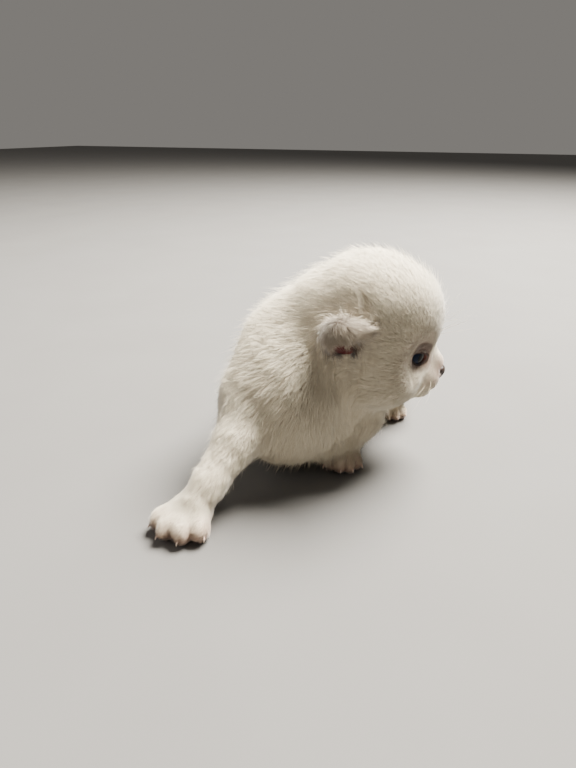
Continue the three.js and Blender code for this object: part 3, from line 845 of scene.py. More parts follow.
def triangles_of(mesh, density, wanted):
    """Corners of a mesh's triangles, and the tufts that each has room for where its corners want any."""
    mesh.calc_loop_triangles()
    corners = np.empty(len(mesh.loop_triangles) * 3, np.int64)
    mesh.loop_triangles.foreach_get("vertices", corners)
    corners = corners.reshape(-1, 3)
    a, b, c = (points_of(mesh)[corners[:, k]] for k in range(3))
    area = np.linalg.norm(np.cross(b - a, c - a), axis=1) / 2 / MM**2
    return corners, area * density[corners].mean(1) * wanted[corners].all(1)


def in_order(mesh, corners, room):
    """The same triangles by where they lie, because a piece that is drawn out may list them in any order."""
    centres = points_of(mesh)[corners].mean(1)
    order = np.lexsort(np.round(centres / (0.01 * MM)).T)
    return corners[order], room[order]


class Roots:
    """Where the tufts of one kind of coat stand on the skin, with all that the skin says there."""

    def __init__(self, mesh, corners, room, seed):
        draw = np.random.default_rng(seed)
        points, normals = points_of(mesh), normals_of(mesh)
        total = np.cumsum(room)
        count = int(total[-1])
        face = np.searchsorted(total, (np.arange(count) + draw.uniform(0, 1, count)) * total[-1] / count)
        face = np.minimum(face, len(room) - 1)
        u, v = draw.uniform(0, 1, (2, count))
        over = u + v > 1
        u[over], v[over] = 1 - u[over], 1 - v[over]
        share = np.stack([1 - u - v, u, v], 1)[:, :, None]
        self.corners, self.share, self.mesh, self.draw = corners[face], share, mesh, draw
        self.places = (points[self.corners] * share).sum(1)
        self.normals = unit((normals[self.corners] * share).sum(1))
        flow = vectors_of(mesh, "flow")
        self.flow = on_plane((flow[self.corners] * share).sum(1), self.normals)
        self.parts = values_of(mesh, "part")[self.corners[:, 0]].astype(int)
        self.count = count

    def read(self, name):
        return (values_of(self.mesh, name)[self.corners] * self.share[:, :, 0]).sum(1)


def hair_lines(roots, settings, kind):
    """The root, the middle and the tip of each tuft of one kind, leaning along the lie of the coat."""
    bent, longer, higher, wider, gather = HAIRS[kind]
    length = roots.read("length") * MM * settings.length * longer
    lift = np.radians(roots.read("lift")) * settings.lift * higher
    draw, count = roots.draw, roots.count
    n, f, p = roots.normals, roots.flow, roots.places
    side = np.cross(n, f)
    broad, fine = (waves(p, *wave) for wave in STRAY_WAVES)
    swing = settings.wander * (broad + fine) + draw.normal(0, STRAY_SPREAD, count)
    f = f * np.cos(swing)[:, None] + side * np.sin(swing)[:, None]
    side = np.cross(n, f)
    rise = lift * (1 + waves(p, *LIFT_WAVES) + draw.normal(0, LIFT_SPREAD, count))
    rise = np.clip(rise, *LIFT_LIMITS)[:, None]
    long = (length * (1 + waves(p, *LENGTH_WAVES) + draw.normal(0, LENGTH_SPREAD, count)))[:, None]
    first = f * np.cos(rise) + n * np.sin(rise)
    later = rise * (1 - settings.bend)
    second = unit(f * np.cos(later) + n * np.sin(later) + side * draw.normal(0, TIP_SPREAD, (count, 1)))
    root = p - n * np.minimum(settings.sink, SUNK_SHARE * long)
    mid = root + first * long * 0.5
    tip = mid + second * long * 0.5
    # hairs gather into locks: each tip is drawn toward the tip of the lock's own hair
    heads = draw.permutation(count)[: max(count // settings.lock, 1)]
    tree = KDTree(len(heads))
    for i, head in enumerate(heads):
        tree.insert(p[head], i)
    tree.balance()
    lock = heads[np.array([tree.find(place)[1] for place in p])]
    pull = settings.clump * gather * draw.uniform(*PULL_RANGE, (count, 1))
    tip += pull * (tip[lock] - tip) * TIP_PULL
    mid += pull * (mid[lock] - mid) * MIDDLE_PULL
    mid[:, 2] = np.maximum(mid[:, 2], settings.floor_gap)
    tip[:, 2] = np.maximum(tip[:, 2], settings.floor_gap)
    return root, mid, tip


def tuft_faces(bent):
    """The triangles of one tuft: rings of three corners, with the tip last."""
    faces = [(2, 1, 0)]
    if bent:
        for k in range(3):
            after = (k + 1) % 3
            faces += [(k, after, 3 + after), (k, 3 + after, 3 + k)]
    top, tip = (3, 6) if bent else (0, 3)
    return faces + [(top + k, top + (k + 1) % 3, tip) for k in range(3)]


def tufts(name, roots, settings, kind):
    """One piece of coat: a thin tapered tuft at each root, shaded in part as the skin under it."""
    bent, longer, higher, wider, gather = HAIRS[kind]
    width = roots.read("width") * MM * settings.thickness * wider
    root, mid, tip = hair_lines(roots, settings, kind)
    draw, count, n = roots.draw, roots.count, roots.normals
    axis = unit(tip - root)
    across = unit(np.cross(n, axis))
    over = np.cross(axis, across)
    turn = draw.uniform(0, 2 * math.pi, count)
    thick = width * draw.uniform(*THICKNESS_RANGE, count)
    rows, shading = [], []
    for centre, share in ((root, 1.0), (mid, MIDDLE_WIDTH)) if bent else ((root, 1.0),):
        for k in range(3):
            angle = (turn + k * 2 * math.pi / 3)[:, None]
            out = across * np.cos(angle) + over * np.sin(angle)
            rows.append(centre + out * (thick * share)[:, None])
            shading.append(unit(over + settings.softness * n + settings.roundness * out))
    rows.append(tip)
    shading.append(unit(over + settings.softness * n))
    each = len(rows)
    points = np.stack(rows, 1).reshape(-1, 3)
    shading = np.stack(shading, 1).reshape(-1, 3)
    faces = (np.array(tuft_faces(bent))[None] + each * np.arange(count)[:, None, None]).reshape(-1)
    mesh = bpy.data.meshes.new(name)
    mesh.vertices.add(len(points))
    mesh.loops.add(len(faces))
    mesh.polygons.add(len(faces) // 3)
    mesh.polygons.foreach_set("loop_start", np.arange(0, len(faces), 3, dtype=np.int32))
    mesh.loops.foreach_set("vertex_index", faces.astype(np.int32))
    mesh.polygons.foreach_set("use_smooth", np.ones(len(faces) // 3, bool))
    mesh.vertices.foreach_set("co", points.astype(np.float32).ravel())
    mesh.update(calc_edges=True)
    mesh.validate()
    mesh.normals_split_custom_set_from_vertices(shading.astype(np.float32))
    heights = np.array([0] * 3 + [0.5] * 3 + [1] if bent else [0] * 3 + [1], float)
    add_values(mesh, "along", np.tile(heights, count))
    add_values(mesh, "vary", np.repeat(draw.uniform(0, 1, count), each))
    # the coat carries the skin's grey points together with its painted shade
    add_values(mesh, "points", np.repeat(roots.read("points"), each))
    add_values(mesh, "blush", np.repeat(roots.read("blush"), each))
    # each tuft has its own small patch of the unwrap
    corner = np.array([-0.5, 0, 0.5] * (2 if bent else 1) + [0]) * settings.patch
    step = (heights - 0.5) * settings.patch
    local = np.stack([np.tile(corner, count), np.tile(step, count)], 1)
    uv = np.repeat(unwrapped(roots.parts, roots.places, n), each, 0) + local
    layer = mesh.uv_layers.new(name="OFBake")
    layer.data.foreach_set("uv", uv[faces].astype(np.float32).ravel())
    return mesh


class KITTEN_OT_coat(bpy.types.Operator):
    """Grows the coat as tapered tufts over the skin, in pieces small enough to handle"""

    bl_idname = "kitten.coat"
    bl_label = "Coat"

    def execute(self, context):
        settings = context.scene.kitten_coat
        skin = bpy.data.objects["skin"].data
        fur = fur_material(context.scene.kitten_colours)
        share_of_tufts = 1
        points, normals = points_of(skin), normals_of(skin)
        q = in_head(points)
        bare = values_of(skin, "inner_ear") > 0.5
        for sign in SIDES.values():
            distance, angle, turn = round_eye(q, sign)
            by_eye = distance < EYE_RADIUS + 3
            bare |= by_eye & (turn < opening(angle) + settings.lids)
            out = from_head(unit(q - np.array(EYE_PLACE) * (1, sign, 1)))
            bare |= (distance < EYE_RADIUS + 4) & ((normals * out).sum(1) < 0.2)
        bare |= np.linalg.norm((q - np.array(NOSE_TIP)) * (0.8, 1, 1), axis=1) < settings.nose / MM
        bare |= points[:, 2] < settings.sole
        for number, kind in enumerate(HAIRS):
            density = values_of(skin, kind) * settings.density * share_of_tufts
            most = settings.most_triangles // TUFT_TRIANGLES[kind]
            corners, room = triangles_of(skin, density, ~bare)
            for group, share in enumerate(self.bands(room, points[corners, 1].mean(1), most)):
                roots = Roots(skin, corners, share, 100 * number + group)
                mesh = tufts(f"coat_{kind}_{group + 1}", roots, settings, kind)
                piece(mesh.name, mesh, fur)
        for number, (side, sign) in enumerate(SIDES.items()):
            lids = bpy.data.objects[f"lids_{side}"].data
            q = in_head(points_of(lids))
            distance, angle, turn = round_eye(q, sign)
            out = from_head(unit(q - np.array(EYE_PLACE) * (1, sign, 1)))
            beyond = turn - opening(angle)
            outside = (normals_of(lids) * out).sum(1) > 0.1
            outside &= (beyond > settings.rim) & (beyond < settings.lid_coat)
            density = values_of(lids, "down") * settings.lid_density * share_of_tufts
            roots = Roots(lids, *in_order(lids, *triangles_of(lids, density, outside)), 300 + number)
            mesh = tufts(f"coat_lids_{side}", roots, settings, "down")
            piece(mesh.name, mesh, fur)
        return {"FINISHED"}

    def bands(self, room, order, most):
        """The room for tufts shared out between bands along the body, each with few enough of them."""
        count = math.ceil(room.sum() / (0.97 * most))
        rank = np.argsort(order)
        filled = np.cumsum(room[rank])
        band = np.empty(len(room), int)
        band[rank] = np.minimum(filled * count / max(filled[-1], 1e-9), count - 1)
        return [room * (band == k) for k in range(count)]


# Eyes, nose, claws, whiskers and stage

# Rings of a lid: the share of the way from the opening's edge outwards, and the height over the eye
LID_RIM = ((-0.3, -0.5), (0, 0.06), (0.02, 0.32), (0.06, 0.5), (0.13, 0.66))
LID_RINGS = LID_RIM + tuple((share / 100, 0.8) for share in range(22, 101, 6))
LID_SIDES = 72

# Over which shares of the way outwards a lid comes down onto the face, and passes from its own form to it
LID_COMES_DOWN = (0.35, 0.95)
LID_PASSES = (0.06, 0.25)
LID_DROP = 0.8  # mm, from the last ring but one to the last, which is inside the skin
CORNER_WIDTH = 0.42  # radians round the opening
RIM_FADE = 1.7  # how soon the rim's dark skin ends


class KITTEN_OT_eyes(bpy.types.Operator):
    """Sets the eyes, each a ball with a raised cornea, and the lids around them"""

    bl_idname = "kitten.eyes"
    bl_label = "Eyes and lids"

    def execute(self, context):
        settings = context.scene.kitten_eyes
        colours = context.scene.kitten_colours
        glass, skin = eye_material(colours), lid_material(colours)
        surface = surface_of(bpy.data.objects["skin"].data)
        for side, sign in SIDES.items():
            place = HEAD @ Matrix.Translation((EYE_PLACE[0], EYE_PLACE[1] * sign, EYE_PLACE[2]))
            gaze = Vector((GAZE[0], GAZE[1] * sign, GAZE[2]))
            look = place @ gaze.to_track_quat("Z", "Y").to_matrix().to_4x4()
            ball = self.ball(look, settings)
            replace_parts(piece(f"eye_ball_{side}", ball, glass), f"eye_{side}")
            lids = self.lids(place, sign, settings, surface)
            parts = np.full(len(lids.vertices), FLESH.index("head"))
            lay_coat(lids, parts, coat_at(parts, points_of(lids)), 2)
            piece(f"lids_{side}", lids, skin)
        return {"FINISHED"}

    def ball(self, look, settings):
        bm = bmesh.new()
        bmesh.ops.create_uvsphere(bm, u_segments=48, v_segments=40, radius=settings.radius)
        turn = bm.verts.layers.float.new("turn")
        for v in bm.verts:
            angle = v.co.angle(Vector((0, 0, 1)))
            v[turn] = angle / math.pi
            v.co *= 1 + settings.cornea * math.exp(-((angle / 0.75) ** 2))
        bmesh.ops.transform(bm, matrix=look, verts=bm.verts)
        return mesh_of(bm, "eye")

    def lids(self, place, sign, settings, surface):
        """A ring of skin around the opening, drawn outwards ring by ring until it passes into the face."""
        facing, inward, up = (np.array(axis) for axis in eye_axes(sign))
        angles = np.arange(LID_SIDES) / LID_SIDES * 2 * math.pi
        shares, heights = (np.array(column)[:, None] for column in zip(*LID_RINGS))
        turns = opening(angles) + settings.reach * shares
        across = np.cos(angles)[:, None] * inward + np.sin(angles)[:, None] * up
        ways = np.cos(turns)[:, :, None] * facing + np.sin(turns)[:, :, None] * across
        own = np.broadcast_to(EYE_RADIUS + settings.lid * heights, turns.shape)
        most = EYE_RADIUS + settings.deepest
        face = [[skin_beyond(surface, place, Vector(way), most) for way in row] for row in ways]
        lift = settings.over * (1 - smooth(*LID_COMES_DOWN, shares))
        over = np.fmax(own, np.array(face) + lift)
        # no place stands far out from those beside it, so that a ray that goes astray leaves no spike
        for step in (3, 2, 1):
            beside = np.fmax(np.roll(over, step, 1), np.roll(over, -step, 1))
            over = np.fmin(over, beside + 0.02 * step)
        far = own + smooth(*LID_PASSES, shares) * (over - own)
        rim = len(LID_RIM)
        for _ in range(settings.lid_steps):
            round_about = (np.roll(far, 1, 1) + np.roll(far, -1, 1)) / 2
            outwards = (far[rim - 1 : -2] + far[rim + 1 :]) / 2
            far[rim:-1] = 0.3 * far[rim:-1] + 0.35 * round_about[rim:-1] + 0.35 * outwards
            far[rim:-1] = np.fmax(far[rim:-1], (over - lift / 2)[rim:-1])
        far[-1] = far[-2] - LID_DROP
        # the corner by the nose stands out from the eye, with a red fold of skin inside it
        by_nose = np.exp(-((np.minimum(angles, 2 * math.pi - angles) / CORNER_WIDTH) ** 2))
        raised = settings.corner * by_nose * np.exp(-6 * shares) * (shares >= 0)
        places = ways * far[:, :, None] + raised[:, :, None] * facing
        bm = bmesh.new()
        away = bm.verts.layers.float.new("away")
        corner = bm.verts.layers.float.new("corner")
        ring = bmesh.ops.create_circle(bm, segments=LID_SIDES, radius=1)["verts"]
        edges = list(bm.edges)
        for i, share in enumerate(shares[:, 0]):
            if i:
                grown = bmesh.ops.extrude_edge_only(bm, edges=edges)["geom"]
                fresh = {g for g in grown if isinstance(g, bmesh.types.BMVert)}
                edges = [g for g in grown if isinstance(g, bmesh.types.BMEdge)]
                partners = [[e.other_vert(v) for e in v.link_edges] for v in ring]
                ring = [next(v for v in choice if v in fresh) for choice in partners]
            for k, v in enumerate(ring):
                v.co = places[i, k]
                v[away] = min(1.0, max(0.0, share * RIM_FADE))
                v[corner] = by_nose[k] * (share < 0.05)
        bmesh.ops.transform(bm, matrix=place, verts=bm.verts)
        bmesh.ops.recalc_face_normals(bm, faces=bm.faces)
        face = max(bm.faces, key=lambda f: (f.calc_center_median() - place.translation).length)
        if face.normal.dot(face.calc_center_median() - place.translation) < 0:
            bmesh.ops.reverse_faces(bm, faces=bm.faces)
        bmesh.ops.solidify(bm, geom=list(bm.faces), thickness=settings.lid_sheet)
        return mesh_of(bm, "lids")


def skin_beyond(surface, place, way, most):
    """How far out from a place in the head the skin lies in one direction, in mm and at most so much."""
    start, along = place.translation, (place.to_3x3() @ way).normalized()
    gone = 0.0
    while gone < most * MM:
        hit, normal, face, distance = surface.ray_cast(start + along * gone, along, most * MM - gone)
        if hit is None:
            return most if gone else math.nan
        gone += distance + MM / 100
        if normal.dot(along) > 0:
            return gone / MM
    return most


class KITTEN_OT_muzzle(bpy.types.Operator):
    """Adds the nose leather with its nostrils, the line of the mouth and the line under the nose"""

    bl_idname = "kitten.muzzle"
    bl_label = "Nose and mouth"

    def execute(self, context):
        settings = context.scene.kitten_muzzle
        colours = context.scene.kitten_colours
        leather = leather_material("nose_leather", colour(colours.nose), colour(colours.nose_pale))
        lip = leather_material("lip_skin", colour(colours.lip), colour(colours.nose))
        bm = bmesh.new()
        bm.from_mesh(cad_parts["nose"].data)
        bmesh.ops.remove_doubles(bm, verts=bm.verts, dist=1e-6)
        mesh = remeshed(bm, "nose_leather", settings.nose_cell)
        average = neighbours(mesh)
        points = points_of(mesh)
        even_out(points, average, (0.6, -0.6), 6)
        points += (settings.nose_growth - 1) * (points - points.mean(0))
        set_points(mesh, points)
        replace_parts(piece("nose_leather", mesh, leather), "nose")
        surface = surface_of(bpy.data.objects["skin"].data)
        bm = bmesh.new()
        left = [Vector((x, y, z)) for x, y, z in reversed(MOUTH_LINE)]
        right = [Vector((x, -y, z)) for x, y, z in MOUTH_LINE[1:]]
        for line, radius in ((left + right, settings.lip), (UNDER_NOSE, settings.lip * 0.7)):
            path = [HEAD.inverted() @ surface.find_nearest(HEAD @ p)[0] for p in curve_through(line, 8)]
            turns = [math.pi * (i + 0.6) / (len(path) + 0.2) for i in range(len(path))]
            radii = [radius * math.sin(turn) ** 0.5 for turn in turns]
            tube(bm, path, radii, 8)
        bmesh.ops.transform(bm, matrix=HEAD, verts=bm.verts)
        piece("lips", mesh_of(bm, "lips"), lip)
        return {"FINISHED"}


def curve_through(points, pieces):
    """A smooth path through a few places."""
    points = [Vector(p) for p in points]
    ends = [points[0] * 2 - points[1], *points, points[-1] * 2 - points[-2]]
    path = []
    for a, b, c, d in zip(ends, ends[1:], ends[2:], ends[3:]):
        for i in range(pieces):
            t = i / pieces
            square, cube = a * 2 - b * 5 + c * 4 - d, b * 3 - a - c * 3 + d
            place = b * 2 + (c - a) * t + square * t**2 + cube * t**3
            path.append(place / 2)
    return path + [points[-1]]


# Places along a claw: how far ahead of its root and how far below it, as shares of its length
CLAW_LINE = ((0, 0), (0.75, 0), (1, 0.15), (1.12, 0.42))


class KITTEN_OT_claws(bpy.types.Operator):
    """Adds a small hooked claw at each toe"""

    bl_idname = "kitten.claws"
    bl_label = "Claws"

    def execute(self, context):
        settings = context.scene.kitten_claws
        bm = bmesh.new()
        along = bm.verts.layers.float.new("along")
        down = Vector((0, 0, -1)) * settings.length
        for paw in PAWS:
            for tip, out in toe_tips(paw):
                ahead = out * settings.length
                root = tip - ahead * 0.75 + down * 0.1
                path = [root + ahead * forward + down * low for forward, low in CLAW_LINE]
                path[-1].z = max(path[-1].z, settings.floor_gap)
                path = curve_through(path, 3)
                radii = [settings.radius * (1 - (i / len(path)) ** 1.6) for i in range(len(path))]
                tube(bm, path, radii, 8, along)
        piece("claws", mesh_of(bm, "claws"), claw_material(context.scene.kitten_colours))
        return {"FINISHED"}


# Whiskers and brow hairs, in the head's frame for the left side: root, direction and length in mm
WHISKERS = [
    ((28.6, 7.6, -14.2), (0.1, 0.95, 0.1), 17),
    ((27.4, 8.4, -15.8), (-0.05, 0.98, -0.05), 20),
    ((26, 8.8, -17), (-0.12, 0.95, -0.2), 19),
    ((29.4, 6.6, -16.4), (0.2, 0.92, -0.2), 14),
    ((27.8, 7.8, -18), (0.05, 0.9, -0.4), 15),
    ((30.4, 5.2, -14.6), (0.35, 0.88, 0), 10),
    ((24.6, 9.2, -15), (-0.25, 0.93, 0.05), 16),
    ((24.4, 6.4, 4), (0.85, 0.1, 0.5), 21),
    ((23.6, 7.6, 5), (0.75, 0.2, 0.65), 24),
    ((22.4, 8.8, 5.4), (0.66, 0.3, 0.7), 22),
    ((21.2, 10, 5), (0.55, 0.45, 0.7), 17),
    ((24.6, 5.2, 5.6), (0.8, 0, 0.6), 16),
    ((23, 6.4, 6.6), (0.62, 0.1, 0.8), 18),
]


class KITTEN_OT_whiskers(bpy.types.Operator):
    """Adds the whiskers and the long hairs of the brows"""

    bl_idname = "kitten.whiskers"
    bl_label = "Whiskers"

    def execute(self, context):
        settings = context.scene.kitten_whiskers
        draw = np.random.default_rng(7)
        bm = bmesh.new()
        along = bm.verts.layers.float.new("along")
        for sign in SIDES.values():
            for root, way, length in WHISKERS:
                way = Vector(way) + Vector(draw.normal(0, 0.05, 3))
                way = Vector((way.x, way.y * sign, way.z)).normalized()
                start = Vector((root[0], root[1] * sign, root[2])) - way * 1.5
                droop = Vector((-0.22, 0, -0.12)) * length * settings.curl
                count = 8
                shares = [i / count for i in range(count + 1)]
                path = [start + way * length * t + droop * t * t for t in shares]
                radii = [settings.radius * (1 - 0.85 * i / count) for i in range(count + 1)]
                tube(bm, path, radii, 5, along)
        bmesh.ops.transform(bm, matrix=HEAD, verts=bm.verts)
        piece("whiskers", mesh_of(bm, "whiskers"), whisker_material(context.scene.kitten_colours))
        return {"FINISHED"}


class KITTEN_OT_stage(bpy.types.Operator):
    """Sets the floor, the soft studio lights and the camera"""

    bl_idname = "kitten.stage"
    bl_label = "Stage"

    def execute(self, context):
        settings = context.scene.kitten_stage
        scene = context.scene
        bm = bmesh.new()
        bmesh.ops.create_grid(bm, x_segments=1, y_segments=1, size=settings.floor_size / 2)
        mesh = mesh_of(bm, "floor")
        mesh.materials.append(floor_material(context.scene.kitten_colours))
        floor = bpy.data.objects.new("floor", mesh)
        scene.collection.objects.link(floor)
        head = Vector(HEAD.translation)
        lens = bpy.data.cameras.new("photograph")
        lens.sensor_width = 36
        lens.lens = LENS_PIXELS / LONG_SIDE * lens.sensor_width
        lens.clip_start = 0.01
        camera = bpy.data.objects.new("photograph", lens)
        camera.location = head + Vector(CAMERA_FROM_HEAD) * MM
        camera.rotation_euler = (math.pi / 2 - CAMERA_DIP, 0, CAMERA_TURN)
        scene.collection.objects.link(camera)
        scene.camera = camera
        ahead = Vector((-math.sin(CAMERA_TURN), math.cos(CAMERA_TURN), 0))
        right = Vector((math.cos(CAMERA_TURN), math.sin(CAMERA_TURN), 0))
        up = Vector((0, 0, 1))
        target = head - up * LIGHTS_AIM * MM
        for name, (forward, aside, high), size, power, shade in (
            ("window", WINDOW_PLACE, 0.7, settings.key, settings.key_colour),
            ("room", ROOM_PLACE, 0.8, settings.fill, settings.fill_colour),
        ):
            way = ahead * forward + right * aside + up * high
            light = bpy.data.lights.new(name, "AREA")
            light.shape = "DISK"
            light.size = size
            light.energy = power
            light.color = shade
            lamp = bpy.data.objects.new(name, light)
            lamp.location = target + way
            lamp.rotation_euler = (-way).to_track_quat("-Z", "Y").to_euler()
            scene.collection.objects.link(lamp)
        world = bpy.data.worlds.new("room_air")
        world.use_nodes = True
        world.node_tree.nodes["Background"].inputs["Color"].default_value = (*settings.air_colour, 1)
        world.node_tree.nodes["Background"].inputs["Strength"].default_value = settings.air
        scene.world = world
        return {"FINISHED"}


# Settings


def length_setting(name, description, default, most=0.1):
    limits = {"default": default, "min": 0, "max": most}
    looks = {"name": name, "description": description, "unit": "LENGTH", "precision": 5}
    return bpy.props.FloatProperty(**looks, **limits)


def number_setting(name, description, default, least=0.0, most=4.0):
    limits = {"default": default, "min": least, "max": most}
    return bpy.props.FloatProperty(name=name, description=description, **limits)


def count_setting(name, description, default, most=1000):
    return bpy.props.IntProperty(name=name, description=description, default=default, min=1, max=most)


def hex_setting(name, description, default):
    return bpy.props.StringProperty(name=name, description=description, default=default, maxlen=7)


def shade_setting(name, description, default):
    return bpy.props.FloatVectorProperty(
        name=name, description=description, default=default, min=0, max=1, subtype="COLOR"
    )


def angle_setting(name, description, degrees):
    limits = {"default": math.radians(degrees), "min": 0, "max": math.pi}
    return bpy.props.FloatProperty(name=name, description=description, subtype="ANGLE", **limits)


class SkinSettings(bpy.types.PropertyGroup):
    cell: length_setting("Cell", "Size of the skin's even cells", 0.95 * MM)
    closing: length_setting("Closing", "How far the solids are fattened to close their seams", 0.3 * MM)
    even_steps: count_setting("Evening", "How often the body's form is evened out", 40)
    blend_steps: count_setting("Blending", "How far one part's coat passes into the next", 30)
    flow_steps: count_setting("Combing", "How far the lie of the coat is smoothed", 60)
    socket: angle_setting("Socket", "How much wider than the solids the skin opens round the eyes", 11)
    outer_corner: number_setting("Outer corner", "How far the skin sinks behind the eyes", 0.42, most=1)
    toe_depth: length_setting("Toe depth", "How much more deeply the toes part than their coat", 0.9 * MM)
    floor_gap: length_setting("Floor gap", "The least height over the floor", 0.25 * MM)


class CoatSettings(bpy.types.PropertyGroup):
    length: number_setting("Length", "Length of the coat against the usual", 1.0)
    lift: number_setting("Lift", "How far the coat stands up against the usual", 1.0)
    thickness: number_setting("Thickness", "Thickness of the tufts against the usual", 1.0)
    density: number_setting("Density", "Tufts to the same area against the usual", 0.945)
    lid_density: number_setting("Lid density", "Tufts to the same area of the lids against the usual", 1.5)
    bend: number_setting("Bend", "How far a tuft's tip lies down again", 0.5, most=1)
    clump: number_setting("Clump", "How far hairs gather into locks", 0.16, most=1)
    wander: number_setting("Wander", "How far the coat strays from its lie, in radians", 0.17, most=1)
    roundness: number_setting("Roundness", "How much each tuft shades as a round one", 0.4, most=2)
    softness: number_setting("Softness", "How much each tuft shades as the skin under it", 0.9, most=4)
    lock: count_setting("Lock", "Tufts that gather into one lock", 12)
    sink: length_setting("Sink", "How deep a root sits in the skin at most", 0.25 * MM)
    rim: angle_setting("Rim", "How far the bare rim of the lids reaches round the eye", 3)
    lid_coat: angle_setting("Lid coat", "How far from the lids' edge their own coat reaches", 25)
    lids: angle_setting("Lids", "How far beyond the lids' edge the skin under them is bare", 3)
    nose: length_setting("Nose", "How far round the tip of the nose there is no coat", 4.2 * MM)
    sole: length_setting("Sole", "Height over the floor below which there is no coat", 0.6 * MM)
    floor_gap: length_setting("Floor gap", "The least height over the floor", 0.2 * MM)
    patch: number_setting("Patch", "Size of each tuft's patch on the unwrap", 0.003, most=0.01)
    most_triangles: count_setting("Most triangles", "Of one piece of coat", 190000, 200000)


class EyeSettings(bpy.types.PropertyGroup):
    radius: number_setting("Radius", "Radius of the eyeball, in mm", 5.3, most=20)
    cornea: number_setting("Cornea", "How far it stands out, as a share of the radius", 0.03, most=0.3)
    lid: number_setting("Lid", "Thickness of the lids over the eye, in mm", 1.0, most=3)
    lid_sheet: length_setting("Lid sheet", "Thickness of the sheet that the lids are made of", 0.3 * MM)
    corner: number_setting("Corner", "How far the inner corner stands out, in mm", 1.3, most=3)
    reach: angle_setting("Reach", "How far the lids run out from their edge", 30)
    over: number_setting("Over", "How far the lids lie over the face, in mm", 0.4, most=3)
    deepest: number_setting("Deepest", "How far the lids' edge may lie from the eye, in mm", 5.0, most=20)
    lid_steps: count_setting("Lid evening", "How often the lids' form is evened out", 6)


class MuzzleSettings(bpy.types.PropertyGroup):
    nose_cell: length_setting("Nose cell", "Size of the nose's even cells", 0.22 * MM)
    nose_growth: number_setting("Nose growth", "Size of the nose leather against the solid under it", 1.22)
    lip: number_setting("Lip", "Radius of the line of the mouth, in mm", 0.34, most=3)


class ClawSettings(bpy.types.PropertyGroup):
    length: length_setting("Length", "Length of a claw", 2.6 * MM)
    radius: length_setting("Radius", "Radius of a claw at its root", 0.42 * MM)
    floor_gap: length_setting("Floor gap", "The least height over the floor", 0.35 * MM)


class WhiskerSettings(bpy.types.PropertyGroup):
    radius: number_setting("Radius", "Radius of a whisker at its root, in mm", 0.05, most=1)
    curl: number_setting("Curl", "How far the whiskers droop and sweep back", 1.0)


class ColourSettings(bpy.types.PropertyGroup):
    tip: hex_setting("Tips", "The coat's tips", "#F7E9CB")
    tip_pale: hex_setting("Pale tips", "The palest of the coat's tips", "#FFF4DB")
    # the coat's roots are darker than its tips as painted shade deep in the coat
    root: hex_setting("Roots", "The coat's roots", "#DFCFB5")
    root_pale: hex_setting("Pale roots", "The palest of the coat's roots", "#F0E4CF")
    # also the colour of the painted shade between the toes, low on the paws and along the ears' lower edge
    points: hex_setting("Points", "The grey brown of the points", "#73625A")
    blush: hex_setting("Blush", "The pink of toes and muzzle", "#C79A86")
    skin: hex_setting("Skin", "Skin under the coat", "#E2C6B5")
    skin_pale: hex_setting("Pale skin", "The palest skin under the coat", "#EEDCCD")
    # the skin's own red inside the ear, darkened as painted shade of the ear's hollow
    inner_ear: hex_setting("Inner ear", "The skin inside the ear", "#521618")
    lid_rim: hex_setting("Lid rim", "The dark rim of the lids", "#2A1D1C")
    lid_dusk: hex_setting("Lid dusk", "The dusky skin of the lids", "#4E403B")
    eye_corner: hex_setting("Eye corner", "The red fold in the inner corner of the eye", "#5E3B34")
    nose: hex_setting("Nose", "The nose leather", "#1A1211")
    nose_pale: hex_setting("Pale nose", "The palest of the nose leather", "#35261F")
    lip: hex_setting("Lips", "The skin of the lips", "#8A5B52")
    iris: hex_setting("Iris", "The iris", "#0A1020")
    iris_pale: hex_setting("Pale iris", "The palest of the iris", "#152034")
    pupil_colour: hex_setting("Pupil colour", "The pupil", "#040508")
    eye_white: hex_setting("Eye white", "The edge of the eyeball", "#4A3F3D")
    pupil: number_setting("Pupil", "Size of the pupil, as a share of half a turn", 0.13, most=1)
    iris_edge: number_setting("Iris edge", "Size of the iris, as a share of half a turn", 0.34, most=1)
    claw: hex_setting("Claw", "The claws' horn", "#E8D9C8")
    floor: hex_setting("Floor", "The floor", "#6B6967")
    floor_pale: hex_setting("Pale floor", "The palest of the floor", "#71706E")


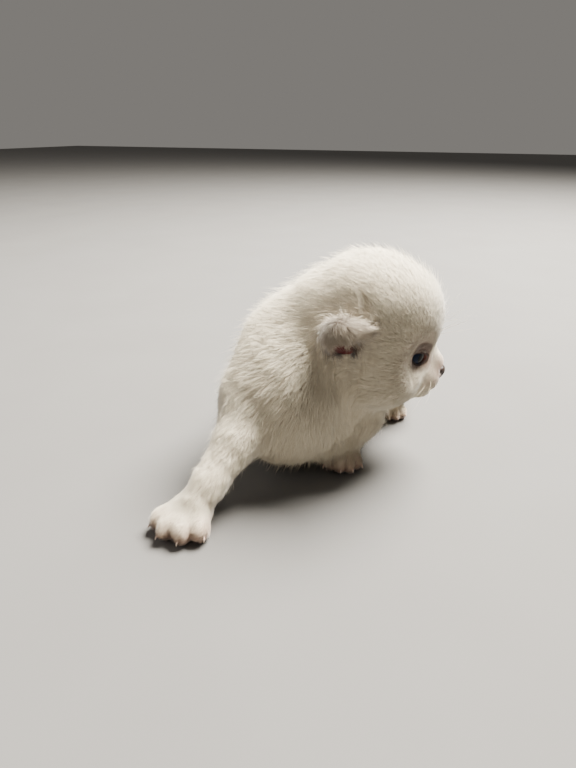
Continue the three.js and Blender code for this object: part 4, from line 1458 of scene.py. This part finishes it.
class StageSettings(bpy.types.PropertyGroup):
    floor_size: number_setting("Floor size", "Width of the floor in metres", 6.0, most=20)
    key: number_setting("Window light", "Power of the window light in watts", 145.0, most=200)
    fill: number_setting("Room light", "Power of the light of the room in watts", 3.0, most=100)
    air: number_setting("Air", "Strength of the light from all round", 0.21)
    key_colour: shade_setting("Window colour", "Colour of the window light", (1.0, 0.96, 0.875))
    fill_colour: shade_setting("Room colour", "Colour of the light of the room", (1.0, 0.95, 0.9))
    air_colour: shade_setting("Air colour", "Colour of the light from all round", (1.0, 0.95, 0.88))


SETTINGS = {
    "kitten_skin": SkinSettings,
    "kitten_coat": CoatSettings,
    "kitten_eyes": EyeSettings,
    "kitten_muzzle": MuzzleSettings,
    "kitten_claws": ClawSettings,
    "kitten_whiskers": WhiskerSettings,
    "kitten_colours": ColourSettings,
    "kitten_stage": StageSettings,
}
OPERATORS = (
    KITTEN_OT_skin,
    KITTEN_OT_eyes,
    KITTEN_OT_coat,
    KITTEN_OT_muzzle,
    KITTEN_OT_claws,
    KITTEN_OT_whiskers,
    KITTEN_OT_stage,
)


class KITTEN_PT_panel(bpy.types.Panel):
    """Lists the kitten's pieces and their settings"""

    bl_idname = "KITTEN_PT_panel"
    bl_label = "Scottish Fold Kitten"
    bl_space_type = "VIEW_3D"
    bl_region_type = "UI"
    bl_category = "Kitten"

    def draw(self, context):
        for operator in OPERATORS:
            self.layout.operator(operator.bl_idname)
        for name, group in SETTINGS.items():
            box = self.layout.box()
            box.label(text=name.replace("kitten_", "").capitalize())
            for key in group.__annotations__:
                box.prop(getattr(context.scene, name), key)


def register():
    for group in SETTINGS.values():
        bpy.utils.register_class(group)
    for name, group in SETTINGS.items():
        setattr(bpy.types.Scene, name, bpy.props.PointerProperty(type=group))
    for operator in OPERATORS:
        bpy.utils.register_class(operator)
    bpy.utils.register_class(KITTEN_PT_panel)


def unregister():
    bpy.utils.unregister_class(KITTEN_PT_panel)
    for operator in reversed(OPERATORS):
        bpy.utils.unregister_class(operator)
    for name, group in SETTINGS.items():
        delattr(bpy.types.Scene, name)
        bpy.utils.unregister_class(group)


def main():
    register()
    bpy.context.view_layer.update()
    bpy.ops.kitten.stage()
    bpy.ops.kitten.skin()
    bpy.ops.kitten.eyes()
    bpy.ops.kitten.coat()
    bpy.ops.kitten.muzzle()
    bpy.ops.kitten.claws()
    bpy.ops.kitten.whiskers()


if __name__ == "__main__":
    main()
